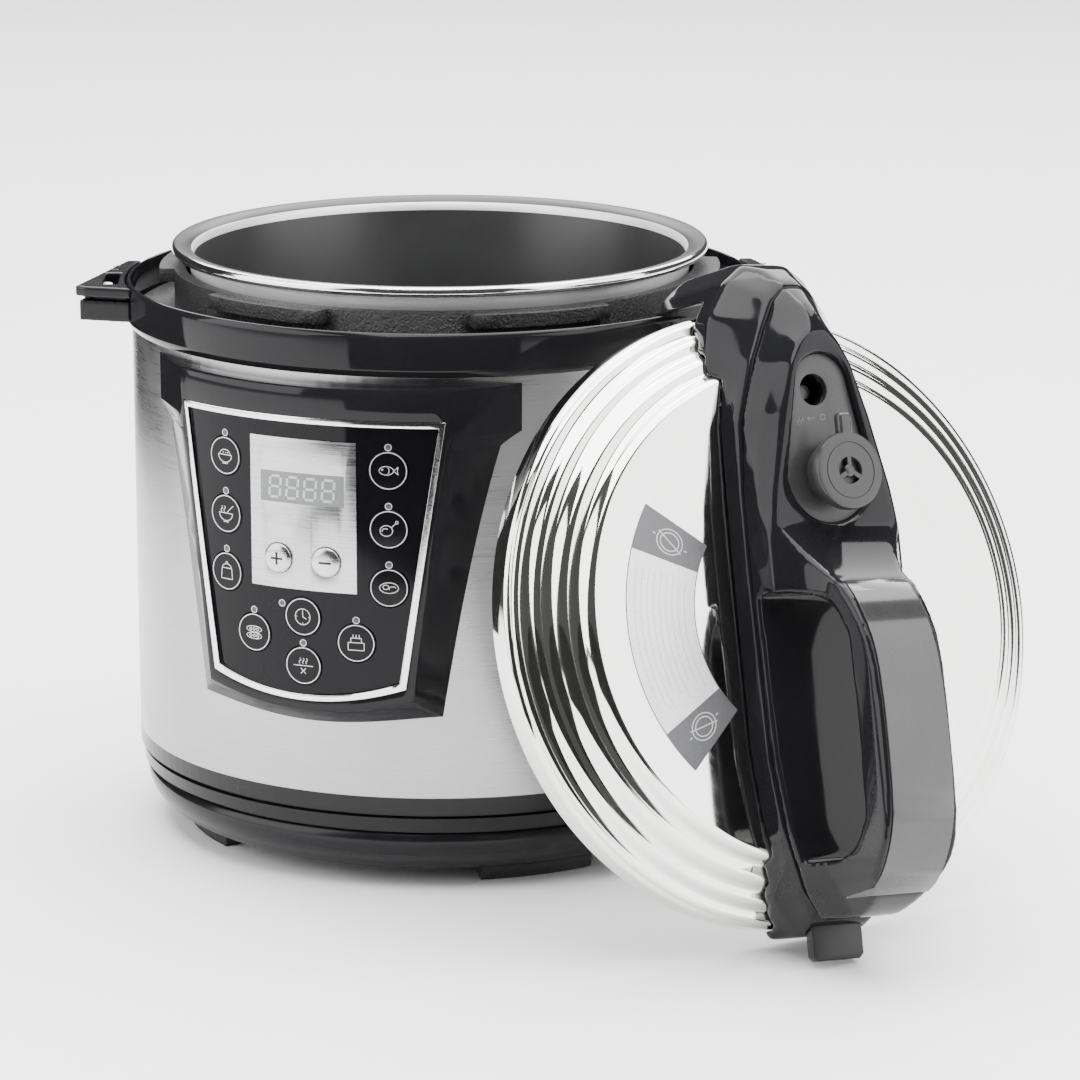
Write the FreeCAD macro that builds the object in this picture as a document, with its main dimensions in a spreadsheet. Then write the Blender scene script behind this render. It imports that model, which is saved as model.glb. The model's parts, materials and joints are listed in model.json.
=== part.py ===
"""Electric pressure cooker, with its lid off and leaning on the right front of the body.

Frame: origin on the table at the axis of the cooking pot, +Z up, the control panel at the front (-Y).
The sheet "sizes" holds the driving dimensions, in millimetres and degrees.  Every sub-part is one
document object with a Label of its own, which names its node.
"""
import FreeCAD, Part
import math
import os
import Sketcher
from FreeCAD import Placement, Rotation, Vector

UP = Vector(0, 0, 1)
ALONG_X = Vector(1, 0, 0)

# ---------------------------------------------------------------- driving dimensions
SIZES = {
    # body
    "foot_height": 6.4,
    "foot_inner": 100,
    "foot_outer": 117,
    "foot_span": 26,
    "base_bottom_radius": 118,
    "base_knee_radius": 130,
    "base_knee_height": 13,
    "base_waist_radius": 134.5,
    "base_waist_height": 21,
    "base_radius": 138,
    "base_top": 44,
    "base_wall": 3,
    "base_groove": 1.4,
    "spigot_height": 6,
    "base_rim": 6.5,
    "groove_low": 27,
    "groove_high": 35,
    "post_radius": 6,
    "post_ring": 98,
    "screw_shank": 1.6,
    "screw_head": 3.4,
    "screw_seat": 3,
    "screw_boss": 4.5,
    "screw_length": 13,
    "fit_gap": 0.2,
    "shell_radius": 138,
    "shell_wall": 0.8,
    "shell_top": 229,
    "window_inset": 3,
    # collar, pressure body and side handles
    "collar_outer": 141,
    "collar_inner": 138.4,
    "collar_foot_inner": 127,
    "collar_foot": 2,
    "collar_top": 248,
    "ring_inner": 113.8,
    "ring_neck": 119,
    "ring_flange": 136,
    "ring_flange_thick": 3.5,
    "ring_top": 253,
    "lug_radius": 125.5,
    "lug_height": 6,
    "lug_width": 62,
    "liner_radius": 117,
    "liner_wall": 1.5,
    "liner_bottom": 74,
    "liner_lip": 126,
    "ear_turn": 24,
    "ear_reach": 161.5,
    "ear_back_reach": 142.5,
    "ear_front": 29,
    "ear_root_front": 38,
    "ear_back": 36,
    "ear_plate": 4.5,
    "ear_gap": 2,
    "ear_bottom": 232.5,
    "ear_inset": 1.6,
    "ear_slot_width": 6.5,
    "ear_slot_length": 27,
    "ear_slot_x": 146.6,
    "ear_slot_y": -22,
    # cooking pot and what is under it
    "pot_inner": 110,
    "pot_wall": 1.6,
    "pot_floor": 2.5,
    "pot_bottom": 92,
    "pot_corner": 14,
    "pot_lip_radius": 120,
    "pot_lip": 4.5,
    "pot_top": 264,
    "plate_radius": 84,
    "plate_low": 79.5,
    "plate_gap": 0.3,
    "plate_hole": 17,
    "rib_radius": 66,
    "rib_width": 8,
    "sensor_radius": 15,
    "sensor_cap": 5,
    "sensor_stem": 5,
    "sensor_foot": 62,
    "bridge_low": 72.5,
    "spring_radius": 9,
    "spring_wire": 1.2,
    "spring_turns": 4,
    # control panel
    "panel_face": 147,
    "panel_floor": 140,
    "housing_back": 105,
    "housing_back_top": 226,
    "housing_back_ear": 205,
    "housing_back_step": 199,
    "housing_back_low": 66,
    "housing_back_sag": 16.4,
    "housing_back_ear_half": 88.5,
    "housing_back_step_half": 85.5,
    "housing_back_low_half": 70,
    "housing_front": 152,
    "housing_front_top": 224,
    "housing_front_ear": 206,
    "housing_front_step": 199,
    "housing_front_low": 98.9,
    "housing_front_sag": 11.7,
    "housing_front_ear_half": 47.5,
    "housing_front_step_half": 46.5,
    "housing_front_low_half": 39.7,
    "trim_top": 211.5,
    "trim_top_half": 61.7,
    "trim_low": 95,
    "trim_low_half": 45.4,
    "trim_sag": 7.5,
    "trim_width": 2.6,
    "trim_back": 142.6,
    "film_back": 144.3,
    "film_face": 145.8,
    "fascia_half": 24.7,
    "fascia_low": 136,
    "fascia_high": 201.7,
    "fascia_thick": 0.5,
    "display_half": 19.6,
    "display_low": 173.4,
    "display_high": 187,
    "module_depth": 3.2,
    "module_front": 143.4,
    "board_front": 122,
    "board_thick": 1.6,
    "board_half": 50,
    "board_low": 90,
    "board_high": 206,
    "key_radius": 8.6,
    "key_play": 0.3,
    "key_back": 142.6,
    "key_face": 146.1,
    "key_column": 15.2,
    "key_side": 9.5,
    "key_step": 25.5,
    "key_low_row": 139.3,
    "key_bottom_row": 114.4,
    "key_preset": 124.1,
    "key_cancel": 102.5,
    "adjust_radius": 6.5,
    "adjust_angle": 4.4,
    "adjust_height": 149,
    "adjust_face": 148.2,
    "switch_radius": 3,
    "switch_face": 141.8,
    "led_radius": 1.2,
    "led_rise": 10,
    "led_face": 146,
    # electrics in the base and at the back
    "power_long": 110,
    "power_wide": 78,
    "power_height": 22,
    "board_stand": 15,
    "socket_half": 15.2,
    "socket_face": 137.4,
    "socket_high": 24,
    "socket_depth": 20,
    "socket_floor": 13,
    "cup_width": 62,
    "cup_high": 70,
    "cup_depth": 26,
    "cup_wall": 1.6,
    "cup_low": 150,
    # lid, in its own frame: its axis is Z, and its bead lies at height 0
    "lid_radius": 129,
    "lid_flat_radius": 104,
    "lid_height": 19.9,
    "lid_shelf_radius": 113,
    "lid_shelf_height": 13,
    "lid_step_radius": 121.5,
    "lid_step_height": 6.5,
    "lid_skirt_radius": 130.5,
    "lid_skirt": 14,
    "lid_lug_radius": 122,
    "lid_wall": 1.5,
    "lid_x": 197.2,
    "lid_y": -97.2,
    "lid_z": 131.6,
    "lid_azimuth": 55.6,
    "lid_lean": 18.9,
    "lid_roll": 6,
    "inner_lid_radius": 108,
    "inner_lid_height": 4,
    "seal_inner": 109,
    "seal_outer": 119.5,
    "seal_low": -5,
    "seal_high": 4,
    # lid handle, in the lid's frame
    "handle_half": 36.5,
    "handle_split": 33,
    "grip_half": 18,
    "grip_top": 93,
    "grip_low": 76,
    "gap_upper": 6,
    "gap_lower": -104,
    "gap_floor": 34,
    "deck_height": 47,
    "deck_thick": 3,
    "deck_wide": 21,
    "deck_narrow": 13,
    "deck_far": 93,
    "inlay_half": 15,
    "inlay_thick": 1.6,
    "inlay_middle": -56,
    "inlay_reach": 64,
    "hook_end": 150,
    "hook_depth": 36,
    "hook_wall": 16,
    "tail_end": 134,
    "tail_depth": 8,
    "tab_half": 12.5,
    "tab_end": 144.5,
    "tab_low": 18,
    "tab_thick": 5,
    "knob_x": -0.5,
    "knob_y": 54,
    "knob_radius": 16,
    "knob_low": 51,
    "knob_top": 64,
    "knob_pointer": 24,
    "pipe_radius": 4,
    "pipe_bore": 1.5,
    "float_x": -3.4,
    "float_y": 90,
    "float_radius": 4,
    "float_hole": 6.6,
}


class Size:
    """A number together with the spreadsheet expression that gives it."""

    def __init__(self, number, text):
        self.number = number
        self.text = text

    def __add__(self, other):
        other = as_size(other)
        return Size(self.number + other.number, f"({self.text} + {other.text})")

    def __sub__(self, other):
        other = as_size(other)
        return Size(self.number - other.number, f"({self.text} - {other.text})")

    def __mul__(self, other):
        other = as_size(other)
        return Size(self.number * other.number, f"({self.text} * {other.text})")

    def __truediv__(self, other):
        other = as_size(other)
        return Size(self.number / other.number, f"({self.text} / {other.text})")

    def __neg__(self):
        return Size(-self.number, f"(0 - {self.text})")


# The handle's level sections in the lid's frame: the height, then (along, half width) from tail to hook.
FOOT_SECTION = [(-134, 14), (-118, 24), (-90, 31), (-60, 34), (20, 34.5), (50, 34.5), (80, 34.5),
                (107, 34), (126, 30), (141, 20), (150, 8)]
HANDLE_SECTIONS = [
    (-45, FOOT_SECTION),
    (14, FOOT_SECTION),
    (30, [(-133, 13), (-117, 22), (-90, 29), (-60, 33), (20, 34.5), (50, 34.5), (80, 33),
          (105, 25), (121, 18), (133, 12), (139, 5)]),
    (42, [(-131, 12), (-115, 20), (-90, 27), (-60, 31), (20, 34.5), (50, 33), (80, 27),
          (103, 18), (114, 12), (122, 7), (127, 3)]),
    (50.5, [(-129, 10), (-114, 18), (-90, 25), (-60, 28), (20, 34), (48, 28.5), (78, 20.5),
            (101, 14), (109, 9.5), (113, 5), (115, 2)]),
    (100, [(-127, 8), (-112, 16), (-90, 22), (-60, 24), (20, 30), (48, 24), (78, 16),
           (101, 12), (109, 8), (112, 4), (114, 2)]),
]


def as_size(value):
    """A plain number becomes a Size whose expression is that number."""
    return value if isinstance(value, Size) else Size(float(value), f"{float(value)}")


def make_sheet(doc):
    """The spreadsheet of driving dimensions, one named cell in each row."""
    sheet = doc.addObject("Spreadsheet::Sheet", "sizes")
    for row, (alias, number) in enumerate(SIZES.items(), start=1):
        sheet.set(f"A{row}", alias.replace("_", " "))
        sheet.set(f"B{row}", str(number))
        sheet.setAlias(f"B{row}", alias)
    doc.recompute()
    return sheet


def dim(alias):
    """The named driving dimension as a Size."""
    return Size(float(SIZES[alias]), f"sizes.{alias}")


def num(alias):
    """The named driving dimension as a plain number."""
    return float(SIZES[alias])


doc = FreeCAD.newDocument("pressure_cooker")
sheet = make_sheet(doc)
nodes = []


# ---------------------------------------------------------------- general tools
def bind(obj, **sizes):
    """Bind the named properties of an object to their expressions."""
    for prop, size in sizes.items():
        obj.setExpression(prop.replace("__", "."), as_size(size).text)


def node(obj, label, placement=None):
    """Make an object a sub-part: its label names its node."""
    obj.Label = label
    if placement is not None:
        obj.Placement = placement
    nodes.append(obj)
    return obj


def cylinder(name, radius, height, low=0, x=0, y=0):
    """An upright cylinder whose foot is at (x, y, low)."""
    obj = doc.addObject("Part::Cylinder", name)
    bind(obj, Radius=radius, Height=height)
    bind(obj, Placement__Base__x=x, Placement__Base__y=y, Placement__Base__z=low)
    return obj


def box(name, x, y, z, length, width, height):
    """A box from its lowest corner."""
    obj = doc.addObject("Part::Box", name)
    bind(obj, Length=length, Width=width, Height=height)
    bind(obj, Placement__Base__x=x, Placement__Base__y=y, Placement__Base__z=z)
    return obj


def centred_box(name, x, y, z, half_x, half_y, height):
    """A box centred on (x, y) that stands on z."""
    x = as_size(x)
    y = as_size(y)
    return box(name, x - half_x, y - half_y, z, as_size(half_x) * 2, as_size(half_y) * 2, height)


def cut(name, base, tool):
    """Base without tool."""
    obj = doc.addObject("Part::Cut", name)
    obj.Base = base
    obj.Tool = tool
    return obj


def common(name, first, second):
    """What two objects share."""
    obj = doc.addObject("Part::Common", name)
    obj.Base = first
    obj.Tool = second
    return obj


def fuse(name, shapes):
    """Several objects as one, or as a group where they don't touch."""
    obj = doc.addObject("Part::MultiFuse", name)
    obj.Shapes = shapes
    return obj


def tube(name, inner, outer, low, high):
    """An upright ring between two radii and two heights."""
    low = as_size(low)
    high = as_size(high)
    wall = cylinder(name + "_wall", outer, high - low, low)
    bore = cylinder(name + "_bore", inner, high - low + 2, low - 1)
    return cut(name, wall, bore)


def origin_plane(body, role):
    """The named plane or axis of a body's own origin."""
    return next(item for item in body.Origin.OriginFeatures if item.Role == role)


def new_body(name):
    """An empty body."""
    return doc.addObject("PartDesign::Body", name)


def edge_between(start, end, sagitta):
    """A straight edge, or an arc that stands off the chord by the sagitta, to the right of its travel."""
    if sagitta is None:
        return Part.LineSegment(start, end)
    chord = end - start
    bulge = sagitta.number
    radius = chord.Length ** 2 / (8 * bulge) + bulge / 2
    centre = (start + end) * 0.5 + chord.cross(UP).normalize() * (bulge - radius)
    ends = (start, end) if bulge > 0 else (end, start)
    first, last = (math.atan2(point.y - centre.y, point.x - centre.x) for point in ends)
    if last < first:
        last += 2 * math.pi
    return Part.ArcOfCircle(Part.Circle(centre, UP, abs(radius)), first, last)


def outline(body, name, role, corners, offset=0):
    """A closed sketch through corners (x, y) or (x, y, sagitta of the edge that follows).

    Every corner is tied to the origin by expressions, and so is the radius of every arc.
    """
    sketch = body.newObject("Sketcher::SketchObject", name)
    sketch.AttachmentSupport = [(origin_plane(body, role), "")]
    sketch.MapMode = "FlatFace"
    if offset:
        sketch.setExpression("AttachmentOffset.Base.z", as_size(offset).text)
    corners = [(as_size(c[0]), as_size(c[1]), as_size(c[2]) if len(c) > 2 else None) for c in corners]
    points = [Vector(c[0].number, c[1].number, 0) for c in corners]
    ends = []
    for index, corner in enumerate(corners):
        start = points[index]
        end = points[(index + 1) % len(points)]
        added = sketch.addGeometry(edge_between(start, end, corner[2]), False)
        forward = sketch.getPoint(added, 1).distanceToPoint(start) < 1e-6
        ends.append((1, 2) if forward else (2, 1))
    for index, corner in enumerate(corners):
        after = (index + 1) % len(corners)
        sketch.addConstraint(Sketcher.Constraint("Coincident", index, ends[index][1], after, ends[after][0]))
        for kind, size in (("DistanceX", corner[0]), ("DistanceY", corner[1])):
            args = (kind, -1, 1, index, ends[index][0], size.number)
            added = sketch.addConstraint(Sketcher.Constraint(*args))
            if size.text != f"{size.number}":
                sketch.setExpression(f"Constraints[{added}]", size.text)
        if corner[2] is not None:
            run = corners[after][0] - corner[0]
            rise = corners[after][1] - corner[1]
            sag = corner[2]
            radius = (run * run + rise * rise) / (sag * 8) + sag / 2
            added = sketch.addConstraint(Sketcher.Constraint("Radius", index, abs(radius.number)))
            sketch.setExpression(f"Constraints[{added}]", f"abs({radius.text})")
    return sketch


def revolved(name, corners):
    """A solid of revolution about Z: corners are (radius, height)."""
    body = new_body(name)
    sketch = outline(body, name + "_profile", "XZ_Plane", corners)
    turn = body.newObject("PartDesign::Revolution", name + "_turn")
    turn.Profile = sketch
    turn.ReferenceAxis = (sketch, ["V_Axis"])
    turn.Angle = 360
    return body


def padded(name, role, corners, length, offset=0, taper=0, middle=False, back=False):
    """A prism on one of the body's own planes."""
    body = new_body(name)
    sketch = outline(body, name + "_outline", role, corners, offset)
    pad = body.newObject("PartDesign::Pad", name + "_pad")
    pad.Profile = sketch
    bind(pad, Length=length)
    if middle:
        pad.Midplane = True
    if taper:
        bind(pad, TaperAngle=taper)
    pad.Reversed = back
    return body


def rectangle(half_x, low, high):
    """The corners of a rectangle centred on the sketch's upright axis."""
    half_x = as_size(half_x)
    return [(-half_x, low), (half_x, low), (half_x, high), (-half_x, high)]


def turned(degrees):
    """A turn about the upright axis of the body."""
    return Placement(Vector(), Rotation(UP, degrees))


def spaced(count, start=0):
    """Equal angles round the upright axis."""
    return [start + 360 * index / count for index in range(count)]


def on_ring(radius, azimuth):
    """The point (x, y) at an angle round the upright axis, counted from +X."""
    angle = math.radians(azimuth)
    return radius * math.cos(angle), radius * math.sin(angle)


def radial_pin(name, radius, inner, outer, azimuth, height):
    """A short rod that points straight out of the panel, azimuth degrees round from its middle."""
    rod = doc.addObject("Part::Cylinder", name)
    inner = as_size(inner)
    bind(rod, Radius=radius, Height=as_size(outer) - inner)
    angle = math.radians(as_size(azimuth).number)
    out = Vector(math.sin(angle), -math.cos(angle), 0)
    centre = out * inner.number
    centre.z = as_size(height).number
    rod.Placement = Placement(centre, Rotation(UP, out))
    return rod


def curved_plate(name, corners, inner, outer):
    """A plate bent round the body: a front outline between two radii."""
    prism = padded(name + "_front", "XZ_Plane", corners, num("panel_face") * 1.2)
    ring = tube(name + "_ring", inner, outer, 1, dim("collar_top"))
    return common(name, ring, prism)


# ---------------------------------------------------------------- base and feet
def screw_places():
    """The centres of the four foot screws."""
    middle = (num("foot_inner") + num("foot_outer")) / 2
    return [on_ring(middle, azimuth) for azimuth in spaced(4, 45)]


def make_feet():
    """Four rubber feet, each an arc of a flat ring with a counterbored screw hole."""
    feet = []
    for index, azimuth in enumerate(spaced(4, 45)):
        outer = doc.addObject("Part::Cylinder", f"foot_outer_{index}")
        bind(outer, Radius=dim("foot_outer"), Height=dim("foot_height"), Angle=dim("foot_span"))
        inner = cylinder(f"foot_inner_{index}", dim("foot_inner"), dim("foot_height") * 3, -5)
        foot = cut(f"foot_{index}", outer, inner)
        foot.Placement = turned(azimuth - num("foot_span") / 2)
        feet.append(foot)
    holes = []
    for index, (x, y) in enumerate(screw_places()):
        sink = dim("screw_head") + 0.2
        holes.append(cylinder(f"foot_sink_{index}", sink, dim("screw_seat") + 2, -2, x, y))
        holes.append(cylinder(f"foot_hole_{index}", dim("screw_shank") + 0.1, 10, 1, x, y))
    node(cut("feet", fuse("feet_blank", feet), fuse("foot_holes", holes)), "rubber_feet")


def make_base():
    """The moulded base: a stepped bowl, a spigot for the steel shell, posts and screw bosses."""
    floor = dim("foot_height") + dim("base_wall")
    inner = dim("base_radius") - dim("base_rim")
    spigot = dim("shell_radius") - dim("shell_wall") - dim("fit_gap")
    groove = dim("base_groove")
    waist = dim("base_waist_radius")
    band = waist + 1.8
    bowl = revolved("base_bowl", [
        (0, dim("foot_height")),
        (dim("base_bottom_radius"), dim("foot_height"), 1.2),
        (dim("base_knee_radius"), dim("base_knee_height"), 0.8),
        (waist, dim("base_waist_height")),
        (waist + 0.6, dim("groove_low") - 0.6),
        (waist - groove, dim("groove_low")),
        (waist - groove, dim("groove_low") + 1.2),
        (band, dim("groove_low") + 1.8),
        (band + 0.6, dim("groove_high") - 0.6),
        (band - groove, dim("groove_high")),
        (band - groove, dim("groove_high") + 1.2),
        (dim("base_radius"), dim("groove_high") + 1.8),
        (dim("base_radius"), dim("base_top")),
        (spigot, dim("base_top")),
        (spigot, dim("base_top") + dim("spigot_height")),
        (spigot - dim("base_wall"), dim("base_top") + dim("spigot_height")),
        (spigot - dim("base_wall"), dim("base_top")),
        (inner, dim("groove_high")),
        (inner, dim("base_waist_height") + 2),
        (dim("base_knee_radius") - 4, dim("base_knee_height") + 1),
        (dim("base_bottom_radius") - 4, floor),
        (0, floor),
    ])
    solids = [bowl]
    post_low = floor - dim("fit_gap")
    post_height = dim("liner_bottom") - post_low
    for index, azimuth in enumerate(spaced(3, 30)):
        x, y = on_ring(num("post_ring"), azimuth)
        solids.append(cylinder(f"post_{index}", dim("post_radius"), post_height, post_low, x, y))
    holes = []
    for index, (x, y) in enumerate(screw_places()):
        length = dim("screw_length")
        solids.append(cylinder(f"screw_boss_{index}", dim("screw_boss"), length, floor - 1, x, y))
        holes.append(cylinder(f"screw_bore_{index}", dim("screw_shank"), length + 3, 1, x, y))
    opening = centred_box("socket_opening", 0, dim("socket_face") - 12, dim("socket_floor"),
                          dim("socket_half"), 14, dim("socket_high"))
    node(cut("base", fuse("base_solid", solids), fuse("base_holes", holes + [opening])), "base_housing")


def make_base_screws():
    """Four screws that hold the feet and the base together."""
    parts = []
    for index, (x, y) in enumerate(screw_places()):
        seat = dim("screw_seat")
        parts.append(cylinder(f"base_screw_{index}", dim("screw_shank"), dim("screw_length"), seat, x, y))
        parts.append(cylinder(f"base_screw_head_{index}", dim("screw_head"), dim("screw_seat") - 1, 1, x, y))
    node(fuse("base_screw_set", parts), "base_screws")


def make_shell():
    """The brushed steel wall, with a window behind the control panel."""
    wall = tube("shell_wall", dim("shell_radius") - dim("shell_wall"), dim("shell_radius"),
                dim("base_top"), dim("shell_top"))
    window = padded("shell_window", "XZ_Plane", trim_outline(dim("window_inset")), 200)
    node(cut("shell", wall, window), "outer_shell")


# ---------------------------------------------------------------- collar, pressure body and side handles
def make_collar():
    """The gloss collar: a thin wall round the pressure body, on a foot that reaches inwards."""
    foot = dim("shell_top")
    node(revolved("collar_ring", [
        (dim("collar_foot_inner"), foot),
        (dim("collar_outer") - 1.4, foot, 0.5),
        (dim("collar_outer"), foot + 3),
        (dim("collar_outer"), dim("collar_top") - 1.2, 0.4),
        (dim("collar_outer") - 1.2, dim("collar_top")),
        (dim("collar_inner"), dim("collar_top")),
        (dim("collar_inner"), foot + dim("collar_foot")),
        (dim("collar_foot_inner"), foot + dim("collar_foot")),
    ]), "collar")


def make_pressure_body():
    """The cast ring with outward bayonet lugs, and the steel liner that hangs from it."""
    low = dim("shell_top") + dim("collar_foot")
    neck = revolved("ring_neck_blank", [
        (dim("ring_inner"), low),
        (dim("ring_flange"), low),
        (dim("ring_flange"), low + dim("ring_flange_thick")),
        (dim("ring_neck"), low + dim("ring_flange_thick")),
        (dim("ring_neck"), dim("ring_top")),
        (dim("ring_inner"), dim("ring_top")),
    ])
    lug_band = tube("lug_band", dim("ring_neck") - 1, dim("lug_radius"),
                    dim("ring_top") - dim("lug_height"), dim("ring_top"))
    spokes = []
    for index, azimuth in enumerate(spaced(3, 15)):
        spoke = centred_box(f"lug_spoke_{index}", 0, 0, dim("ring_top") - dim("lug_height"),
                            150, dim("lug_width") / 2, dim("lug_height"))
        holder = doc.addObject("Part::Compound", f"lug_pair_{index}")
        holder.Links = [spoke]
        holder.Placement = turned(azimuth)
        spokes.append(holder)
    lugs = common("lugs", lug_band, fuse("lug_spokes", spokes))
    node(fuse("bayonet", [neck, lugs]), "bayonet_ring")
    radius = dim("liner_radius")
    inner = radius - dim("liner_wall")
    top = dim("shell_top") + dim("collar_foot")
    node(revolved("liner_can", [
        (dim("plate_hole") + 3, dim("liner_bottom")),
        (radius, dim("liner_bottom")),
        (radius, top - dim("liner_wall")),
        (dim("liner_lip"), top - dim("liner_wall")),
        (dim("liner_lip"), top),
        (inner, top),
        (inner, dim("liner_bottom") + dim("liner_wall")),
        (dim("plate_hole") + 3, dim("liner_bottom") + dim("liner_wall")),
    ]), "inner_housing")


def ear_corners(side, inset):
    """The plan of a side handle, deeper at the front, drawn in by an inset on its free edges."""
    inset = as_size(inset)
    reach = dim("ear_reach") - inset
    back_reach = dim("ear_back_reach") - inset
    root = dim("shell_radius") - 12
    plan = [
        (root, -dim("ear_root_front") + inset),
        (reach - 4, -dim("ear_front") + inset),
        (reach, -dim("ear_front") + 3),
        (back_reach, dim("ear_back") - inset),
        (root, dim("ear_back") - inset),
    ]
    return [(x * side, y) for x, y in plan]


def make_side_handle(side, label):
    """A side handle: a slotted top plate, a shadow gap and a lower block, cut to fit the collar."""
    top = dim("collar_top")
    plate_low = top - dim("ear_plate")
    block_top = plate_low - dim("ear_gap")
    steps = (
        ("plate", 0, plate_low, dim("ear_plate")),
        ("neck", dim("ear_inset") * 2.5, block_top - 1, dim("ear_gap") + 2),
        ("block", dim("ear_inset"), dim("ear_bottom"), block_top - dim("ear_bottom")),
    )
    layers = [padded(f"{label}_{name}", "XY_Plane", ear_corners(side, inset), depth, offset=low)
              for name, inset, low, depth in steps]
    slot = box(f"{label}_slot", dim("ear_slot_x") * side - dim("ear_slot_width") / 2, dim("ear_slot_y"),
               dim("ear_bottom") + 2, dim("ear_slot_width"), dim("ear_slot_length"), 20)
    core = cylinder(f"{label}_core", dim("collar_outer"), 60, 210)
    ear = cut(f"{label}_solid", fuse(f"{label}_layers", layers), fuse(f"{label}_tools", [slot, core]))
    node(ear, label, turned(num("ear_turn")))


# ---------------------------------------------------------------- cooking pot and heater
def make_inner_pot():
    """The cooking pot: a drawn bowl with a rolled lip."""
    inner = dim("pot_inner")
    outer = inner + dim("pot_wall")
    floor = dim("pot_bottom") + dim("pot_floor")
    corner = dim("pot_corner")
    lip_low = dim("pot_top") - dim("pot_lip")
    node(revolved("pot_bowl", [
        (0, dim("pot_bottom")),
        (outer - corner, dim("pot_bottom"), corner * 0.2929),
        (outer, dim("pot_bottom") + corner),
        (outer, lip_low - 2, -0.5),
        (outer + 2, lip_low),
        (dim("pot_lip_radius") - 1, lip_low, 0.3),
        (dim("pot_lip_radius"), lip_low + 1.2),
        (dim("pot_lip_radius"), dim("pot_top") - 1.2, 0.3),
        (dim("pot_lip_radius") - 1.2, dim("pot_top")),
        (inner + 4.5, dim("pot_top") - 0.6, -0.7),
        (inner, lip_low - 1.5),
        (inner, floor + corner, -corner * 0.25),
        (inner - corner, floor),
        (0, floor),
    ]), "inner_pot")


def make_heater():
    """The cast heating plate on its ring foot, with the spring-loaded temperature sensor in its middle."""
    top = dim("pot_bottom") - dim("plate_gap")
    rib = dim("rib_radius")
    foot = dim("liner_bottom") + dim("liner_wall")
    node(revolved("heater_plate", [
        (dim("plate_hole"), dim("plate_low")),
        (rib - dim("rib_width") / 2, dim("plate_low")),
        (rib - dim("rib_width") / 2, foot),
        (rib + dim("rib_width") / 2, foot),
        (rib + dim("rib_width") / 2, dim("plate_low")),
        (dim("plate_radius") - 3, dim("plate_low")),
        (dim("plate_radius"), dim("plate_low") + 3),
        (dim("plate_radius"), top),
        (dim("plate_hole"), top),
    ]), "heating_plate")
    cap_low = top - dim("sensor_cap")
    node(revolved("sensor_plunger", [
        (0, dim("sensor_foot")),
        (dim("sensor_stem"), dim("sensor_foot")),
        (dim("sensor_stem"), cap_low),
        (dim("sensor_radius"), cap_low),
        (dim("sensor_radius"), top - 1, 0.3),
        (dim("sensor_radius") - 1, top),
        (0, top),
    ]), "thermal_sensor")
    make_sensor_spring(cap_low)
    bridge = centred_box("bridge_strip", 0, 0, dim("bridge_low"), dim("plate_hole") + 12, 8, 1.5)
    bridge_hole = cylinder("bridge_hole", dim("sensor_stem") + 0.1, 6, 70)
    node(cut("bridge", bridge, bridge_hole), "sensor_bridge")


def make_sensor_spring(cap_low):
    """The coil spring between the bridge and the sensor's cap."""
    wire = num("spring_wire") / 2
    low = num("bridge_low") + 1.5 + wire + 0.05
    rise = cap_low.number - wire - 0.05 - low
    helix = Part.makeHelix(rise / num("spring_turns"), rise, num("spring_radius"))
    start = helix.Vertexes[0].Point
    sides = 8
    ring = [start + Rotation(Vector(0, 1, 0), 360 / sides * (side + 0.5)).multVec(Vector(wire, 0, 0))
            for side in range(sides)]
    section = Part.makePolygon(ring + ring[:1])
    spring = doc.addObject("Part::Feature", "spring_coil")
    spring.Shape = Part.Wire(helix).makePipeShell([section], True, True)
    node(spring, "sensor_spring", Placement(Vector(0, 0, low), Rotation()))


def make_base_electrics():
    """What the base holds: the power board, the thermal fuse, the pressure switch and the mains inlet."""
    low = dim("board_stand")
    board = centred_box("power_pcb", 0, 0, low,
                        dim("power_long") / 2, dim("power_wide") / 2, dim("board_thick"))
    top = low + dim("board_thick")
    pieces = [board]
    for index, (x, y) in enumerate(((1, 1), (-1, 1), (-1, -1), (1, -1))):
        pieces.append(cylinder(f"power_leg_{index}", 3, low - dim("foot_height") - dim("base_wall"),
                               dim("foot_height") + dim("base_wall"),
                               (dim("power_long") / 2 - 6) * x, (dim("power_wide") / 2 - 6) * y))
    pieces.append(centred_box("power_relay", -30, 14, top, 10, 8, dim("power_height")))
    pieces.append(centred_box("power_transformer", 24, -8, top, 14, 12, dim("power_height") - 2))
    pieces.append(cylinder("power_capacitor", 6, dim("power_height"), top, -22, -20))
    pieces.append(centred_box("power_terminals", 8, 27, top, 20, 6, 12))
    node(fuse("power_unit", pieces), "power_board")
    node(cylinder("fuse_body", 3, 12, dim("liner_bottom") - 12, -60, 25), "thermal_fuse")
    switch = fuse("switch_unit", [
        centred_box("switch_case", 55, -30, dim("liner_bottom") - 24, 14, 9, 20),
        cylinder("switch_plunger", 4, 4, dim("liner_bottom") - 4, 55, -30),
    ])
    node(switch, "pressure_switch")
    half = dim("socket_half") - dim("fit_gap")
    floor = dim("socket_floor") + dim("fit_gap")
    high = dim("socket_high") - dim("fit_gap") * 2
    face = dim("socket_face")
    case = box("socket_case", -half, face - dim("socket_depth"), floor, half * 2, dim("socket_depth"), high)
    well = box("socket_well", -half + 3.5, face - dim("socket_depth") + 3, floor + 3.5,
               half * 2 - 7, dim("socket_depth"), high - 7)
    blades = []
    for index, (x, z) in enumerate(((-7, -2.5), (7, -2.5), (0, 2.5))):
        blades.append(box(f"socket_blade_{index}", as_size(x) - 1, face - dim("socket_depth") + 2,
                          floor + high / 2 + z - 2, 2, dim("socket_depth") - 6, 4))
    node(fuse("socket", [cut("socket_shell", case, well)] + blades), "inlet_socket")


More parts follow.
